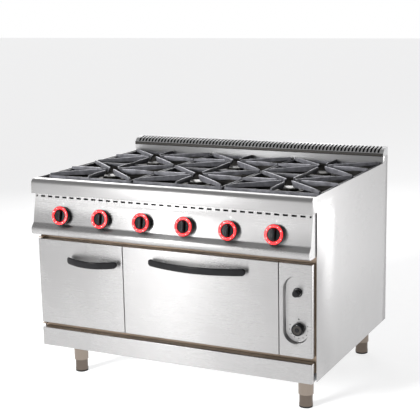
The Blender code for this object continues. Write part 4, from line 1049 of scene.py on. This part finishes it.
def handle_parts(node, middle_x, middle_z, length, pillar):
    """A rounded section swept along a parabola, with half-round ends and two pillars. The
    bow and the sag both follow 1 - (x / end) ** 2. Pillar is a pillar's place off centre."""
    low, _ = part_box(node)
    tall, thick = 0.0135, 0.005
    face_y = ranges("oven_door")[2]
    near, far = at(0.004), low.y + thick
    end = length / 2
    across = np.concatenate([
        -end + tall * (1 - np.cos(np.linspace(0.0, math.pi / 2, 10))),
        np.linspace(-end + tall, end - tall, 33)[1:-1],
        end - tall * (1 - np.cos(np.linspace(math.pi / 2, 0.0, 10)))])
    inset = np.clip((np.abs(across) - (end - tall)) / tall, 0.0, 1.0)
    height = tall * np.sqrt(1 - inset ** 2)
    depth = thick * (1 - inset ** 6) ** 0.5
    bow = far + (near - far) * (across / end) ** 2
    unit = loop(1.0, 1.0, 0.45, 5)
    sections = unit[None] * np.stack([depth, height], axis=-1)[:, None]
    sag = SAG * (1 - (across / end) ** 2)
    path = np.stack([middle_x + across, bow, middle_z - sag], axis=-1)
    bar = carry(sections, path, (0.0, -1.0, 0.0), (0.0, 0.0, 1.0))
    pillars = []
    for side in (-1, 1):
        start_y = far + (near - far) * (pillar / end) ** 2
        reach = face_y - CLEARANCE - start_y
        rows = soften([(0.0, 0.0), (PILLAR_RADIUS, 0.0), (PILLAR_RADIUS, reach - 0.004),
                       (PILLAR_FOOT, reach), (0.0, reach)], 0.0012, 3)
        pillars.append(shifted(lathe(rows, 24, finish=1), frame_of((0.0, 1.0, 0.0)),
                               (middle_x + side * pillar, start_y, middle_z)))
    return [bar] + pillars


for node, body, numbers in (
        ("cabinet_door_handle", "cabinet_door", (-0.330, 0.530, 0.230, 0.098)),
        ("oven_door_handle", "oven_door", (0.132, 0.556, 0.410, 0.137))):
    piece(f"{node}_bar", handle_parts(node, *numbers), [phenolic, chrome], body, [node])
stand_out = ranges("oven_door")[2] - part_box("oven_door_handle")[0].y
print("handles stand", round(stand_out * 1000), "mm out")

# %% [markdown]
# ## Legs
# Each leg is a polished tube with a flange, and a thinner foot that screws up and down inside
# it to level the range. The foot flares at its end and stands on a moulded pad. Turned parts
# are lathe profiles, drawn once and set down at each of the four corners.
# %% Legs and feet
SLEEVE_END = 0.0530
sleeve = soften([(0.0, 0.1455), (0.0273, 0.1455), (0.0273, SLEEVE_END), (0.0300, SLEEVE_END),
                 (0.0300, 0.1490), (0.0420, 0.1492), (0.0420, 0.1530), (0.0, 0.1530)],
                0.0010, 3)
tube = soften([(0.0, 0.0062), (0.0262, 0.0062), (0.0275, 0.0085), (0.0275, 0.0120),
               (0.0265, 0.0190), (0.0262, 0.0300), (0.0265, 0.1095), (0.0200, 0.1095),
               (0.0200, 0.0600), (0.0, 0.0600)], 0.0012, 3)
pad = soften([(0.0, 0.0), (0.0240, 0.0), (0.0268, 0.0012), (0.0270, 0.0060), (0.0, 0.0062)],
             0.0008, 3)
for corner in ("front_left", "front_right", "rear_left", "rear_right"):
    low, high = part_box(f"foot_{corner}")
    offset = ((low.x + high.x) / 2, (low.y + high.y) / 2, 0.0)
    parts = [shifted(part, offset=offset)
             for part in (lathe(sleeve, 64), lathe(tube, 64), lathe(pad, 64, finish=1))]
    piece(f"leg_sleeve_{corner}", parts[:1], [steel_tube], "root",
          [f"leg_{corner}"])
    piece(f"foot_tube_{corner}", parts[1:],
          [steel_foot_painted_shade, rubber], f"foot_{corner}", [f"foot_{corner}"])
print("leg sleeves end", round(SLEEVE_END * 1000), "mm above the floor")

# %% [markdown]
# ## Oven rack and door seal
# The rack is welded from chromed wire, and the door closes on a woven glass rope. Both are
# round sections carried along a path: straight for each wire, and round the opening's rounded
# rectangle for the rope. The rope's section also swells and shrinks to show its weave.
# %% Rack and seal
RIM_WIRE, CROSS_WIRE, LONG_WIRE = 0.0028, 0.0020, 0.0022
turn = np.linspace(0.0, math.tau, 10, endpoint=False)
round_section = np.stack([np.cos(turn), np.sin(turn)], axis=-1)
low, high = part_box("oven_rack")
wire_z = (low.z + high.z) / 2
centre = np.array([(low.x + high.x) / 2, (low.y + high.y) / 2])
half = np.array([(high.x - low.x) / 2 - 0.003, (high.y - low.y) / 2 - 0.003])
rim_path = loop(*half, 0.014, 5)
inner_path = loop(half[0] - 0.001, half[1] - 0.001, 0.013, 5)
outward = rim_path - inner_path
outward /= np.linalg.norm(outward, axis=1, keepdims=True)
flat = np.zeros((len(rim_path), 1))
parts = [carry(round_section * RIM_WIRE, np.hstack([rim_path + centre, flat + wire_z]),
               np.hstack([outward, flat]), (0.0, 0.0, 1.0), closed=True)]
# A wire's section is nothing at its two end points, which closes its ends
size = np.array([0.0, 1.0, 1.0, 0.0])[:, None, None]
for x in np.linspace(-half[0], half[0], 19)[1:-1]:
    ends = np.repeat([[x, -half[1], 0.0], [x, half[1], 0.0]], 2, axis=0)
    parts.append(carry(round_section * CROSS_WIRE * size, ends + [*centre, wire_z + 0.0008],
                       (1.0, 0.0, 0.0), (0.0, 0.0, 1.0)))
for y in (-half[1] * 0.5, 0.0, half[1] * 0.5):
    ends = np.repeat([[-half[0], y, 0.0], [half[0], y, 0.0]], 2, axis=0)
    parts.append(carry(round_section * LONG_WIRE * size, ends + [*centre, wire_z - 0.0007],
                       (0.0, 1.0, 0.0), (0.0, 0.0, 1.0)))
piece("oven_rack_wires", parts, [chrome], "root", ["oven_rack"], crease=60.0)

# The rope's two half sizes swell by 6% along strands that lie 8 mm apart and wind round it
STRAND_PITCH, STRAND_SWELL, ROPE_HALF = 0.008, 0.06, 0.0048
low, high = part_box("oven_door_seal")
half = np.array([(high.x - low.x) / 2 - 0.005, (high.z - low.z) / 2 - 0.005])
path = loop(*half, 0.012, 6)
length = np.concatenate([[0.0], np.cumsum(np.linalg.norm(np.diff(path, axis=0), axis=1))])
samples = np.linspace(0.0, length[-1], 700, endpoint=False)
line = np.stack([np.interp(samples, length, path[:, axis]) for axis in (0, 1)], axis=-1)
ahead = np.roll(line, -1, axis=0) - np.roll(line, 1, axis=0)
ahead /= np.linalg.norm(ahead, axis=1, keepdims=True)
outward = np.stack([ahead[:, 1], np.zeros(len(line)), -ahead[:, 0]], axis=-1)
strands = 1.0 + STRAND_SWELL * np.cos(
    samples[:, None] * math.tau / STRAND_PITCH + 4 * turn[None])
thick = (high.y - low.y) / 2 * 0.93
section = round_section[None] * [ROPE_HALF, thick] * strands[..., None]
route = np.stack([line[:, 0] + (low.x + high.x) / 2, np.full(len(line), (low.y + high.y) / 2),
                  line[:, 1] + (low.z + high.z) / 2], axis=-1)
piece("oven_seal_rope", [carry(section, route, outward, (0.0, 1.0, 0.0), closed=True)], [fibre],
      "root", ["oven_door_seal"], crease=60.0)
print("seal rope is", round(length[-1], 2), "m long")

# %% [markdown]
# ## Rear panel screws
# The rear panel is held by pan-head screws along its edges. Each is a lathe shape with a
# shallow dished drive, and one grid repeated at every place makes them all.
# %% Screws
low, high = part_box("rear_panel")
screw = soften([(0.0, 0.0), (0.0045, 0.0), (0.0045, 0.0010), (0.0030, 0.0022), (0.0016, 0.0023),
                (0.0012, 0.0010), (0.0, 0.0008)], 0.0004, 2)
inset = 0.014
spots = [(x, z) for x in np.linspace(low.x + inset, high.x - inset, 6)
         for z in (low.z + inset, high.z - inset)]
spots += [(x, (low.z + high.z) / 2) for x in (low.x + inset, high.x - inset)]
facing_rear = frame_of((0.0, 1.0, 0.0))
parts = [shifted(lathe(screw, 16), facing_rear, (x, high.y - 0.0002, z)) for x, z in spots]
piece("rear_panel_screws", parts, [steel_tube], "root")
print("rear screws:", len(spots))

# %% [markdown]
# ## Stage
# The range stands on a lit table of white acrylic, as product studios use: it keeps the floor
# pale and the shadow soft. A broad lamp at the front left lights whatever is matt. Steel shows
# what stands round it, so it needs things to mirror: a tall narrow lamp that puts a bright band
# on the doors, two lamps behind for the side and the top, and a room that grows darker upwards
# and to the right. Those gradients are what makes sheet metal look like metal.
# %% Floor and lights
FLOOR_REACH = 30.0
floor_mesh = bpy.data.meshes.new("studio_floor")
floor_corners = [(x * FLOOR_REACH, y * FLOOR_REACH, 0.0)
                 for x, y in ((-1, -1), (1, -1), (1, 1), (-1, 1))]
floor_mesh.from_pydata(floor_corners, [], [(0, 1, 2, 3)])
floor = bpy.data.objects.new("studio_floor", floor_mesh)
bpy.context.scene.collection.objects.link(floor)
# Cast acrylic, matt and lit from below: an even pale glow with no edge to the shadow
table_top = grained("Studio_table_lit_acrylic", "#A2A2A2", "#A9A9A9", 0.004, (0.85, 0.95),
                    0.0001, Emission_Color=(1.0, 1.0, 1.0, 1.0), Emission_Strength=0.77)
floor_mesh.materials.append(table_top)


def softbox(name, place, aim, width, height, watts):
    """A rectangular area light that looks at a point and isn't seen itself. Its pitch is the
    angle between the line to its aim and straight down, and its heading that line's."""
    data = bpy.data.lights.new(name, "AREA")
    data.shape, data.size, data.size_y, data.energy = "RECTANGLE", width, height, watts
    lamp = bpy.data.objects.new(name, data)
    bpy.context.scene.collection.objects.link(lamp)
    back = np.array(place) - np.array(aim)
    pitch = math.acos(back[2] / np.linalg.norm(back))
    lamp.location, lamp.rotation_euler = place, (pitch, 0.0, math.atan2(back[0], -back[1]))
    lamp.visible_camera = False
    return lamp


# The key lamp lights matt surfaces only, or its own shape would show in the doors
key = softbox("key_front_left", (-2.6, -5.6, 2.3), (0.0, 0.0, 0.75), 2.2, 1.8, 150.0)
key.visible_glossy = False
key.data.spread = math.radians(55)
softbox("strip_front_left", (-1.84, -3.94, 1.30), (0.0, -0.4, 0.6), 0.56, 2.6, 25.0)
softbox("panel_rear_right", (2.78, 3.25, 0.80), (0.6, 0.0, 0.7), 1.0, 1.5, 32.0)
softbox("rim_rear_left", (-2.0, 3.3, 2.0), (0.0, -0.2, 0.86), 2.6, 1.5, 42.0)
print("lights:", [light.name for light in bpy.data.lights])

# %% [markdown]
# The room is one shader that gives three answers. What the camera sees directly is plain white.
# What matt surfaces receive is a dim, even fill. What steel mirrors is the gradient room, the
# brighter of the walls' and the back's own gradients, dimmed towards the right.
# %% Room
WHITE, BLACK, FILL = (1.0, 1.0, 1.0, 1.0), (0.0, 0.0, 0.0, 1.0), (0.15, 0.15, 0.16, 1.0)
world = bpy.data.worlds.new("studio")
bpy.context.scene.world = world
world.use_nodes = True
tree = world.node_tree
sky = tree.nodes["Background"]
path = add(tree, "LightPath")
direction = add(tree, "SeparateXYZ", {0: add(tree, "TexCoord", out="Generated")}).outputs
walls = add(tree, "MapRange", {0: direction["Z"], 1: 0.12, 2: 0.55, 3: 0.95, 4: 0.36}, out=0)
back = add(tree, "MapRange", {0: direction["Y"], 1: -0.2, 2: 0.5, 3: 0.0, 4: 0.55}, out=0)
brighter = add(tree, "Math", {0: walls, 1: back}, out=0, operation="MAXIMUM")
right = add(tree, "MapRange", {0: direction["X"], 1: 0.0, 2: 0.6, 3: 1.0, 4: 0.35}, out=0)
lit = add(tree, "Math", {0: brighter, 1: right}, out=0, operation="MULTIPLY")
room = add(tree, "Mix", {0: lit, 6: BLACK, 7: WHITE}, out=2, data_type="RGBA")
soft = add(tree, "Mix", {0: path.outputs["Is Diffuse Ray"], 6: room, 7: FILL}, out=2,
           data_type="RGBA")
seen = add(tree, "Mix", {0: path.outputs["Is Camera Ray"], 6: soft, 7: WHITE}, out=2,
           data_type="RGBA")
tree.links.new(seen, sky.inputs["Color"])
sky.inputs["Strength"].default_value = 1.0
# The standard view shows a hex value as it was given, and white as white
bpy.context.scene.view_settings.view_transform = "Standard"
print("the room's shader has", len(tree.nodes), "nodes")

# %% [markdown]
# ## Camera
# A short telephoto lens, about 90 mm on a full frame, from the front right and a little above,
# shows the front, the right side and the hob together with little perspective. It leans by
# one degree, so that the range's verticals stand as they should.
# %% Camera
camera_data = bpy.data.cameras.new("camera")
camera_data.lens, camera_data.sensor_width = 91.09, 36.0
camera = bpy.data.objects.new("camera", camera_data)
bpy.context.scene.collection.objects.link(camera)
camera.location = (1.9058, -3.8773, 1.5674)
camera.rotation_euler = [math.radians(angle) for angle in (78.436, 1.083, 26.158)]
bpy.context.scene.camera = camera
print("camera is", round(math.dist(camera.location, (0.0, 0.0, 0.45)), 2), "m from the middle")

# %% [markdown]
# ## Pieces and faces
# The number of pieces made and their faces are printed. The dressed range must stay inside
# the CAD's box.
# %% Count the pieces and faces
print("pieces:", len(pieces_made), "faces:", sum(pieces_made.values()))
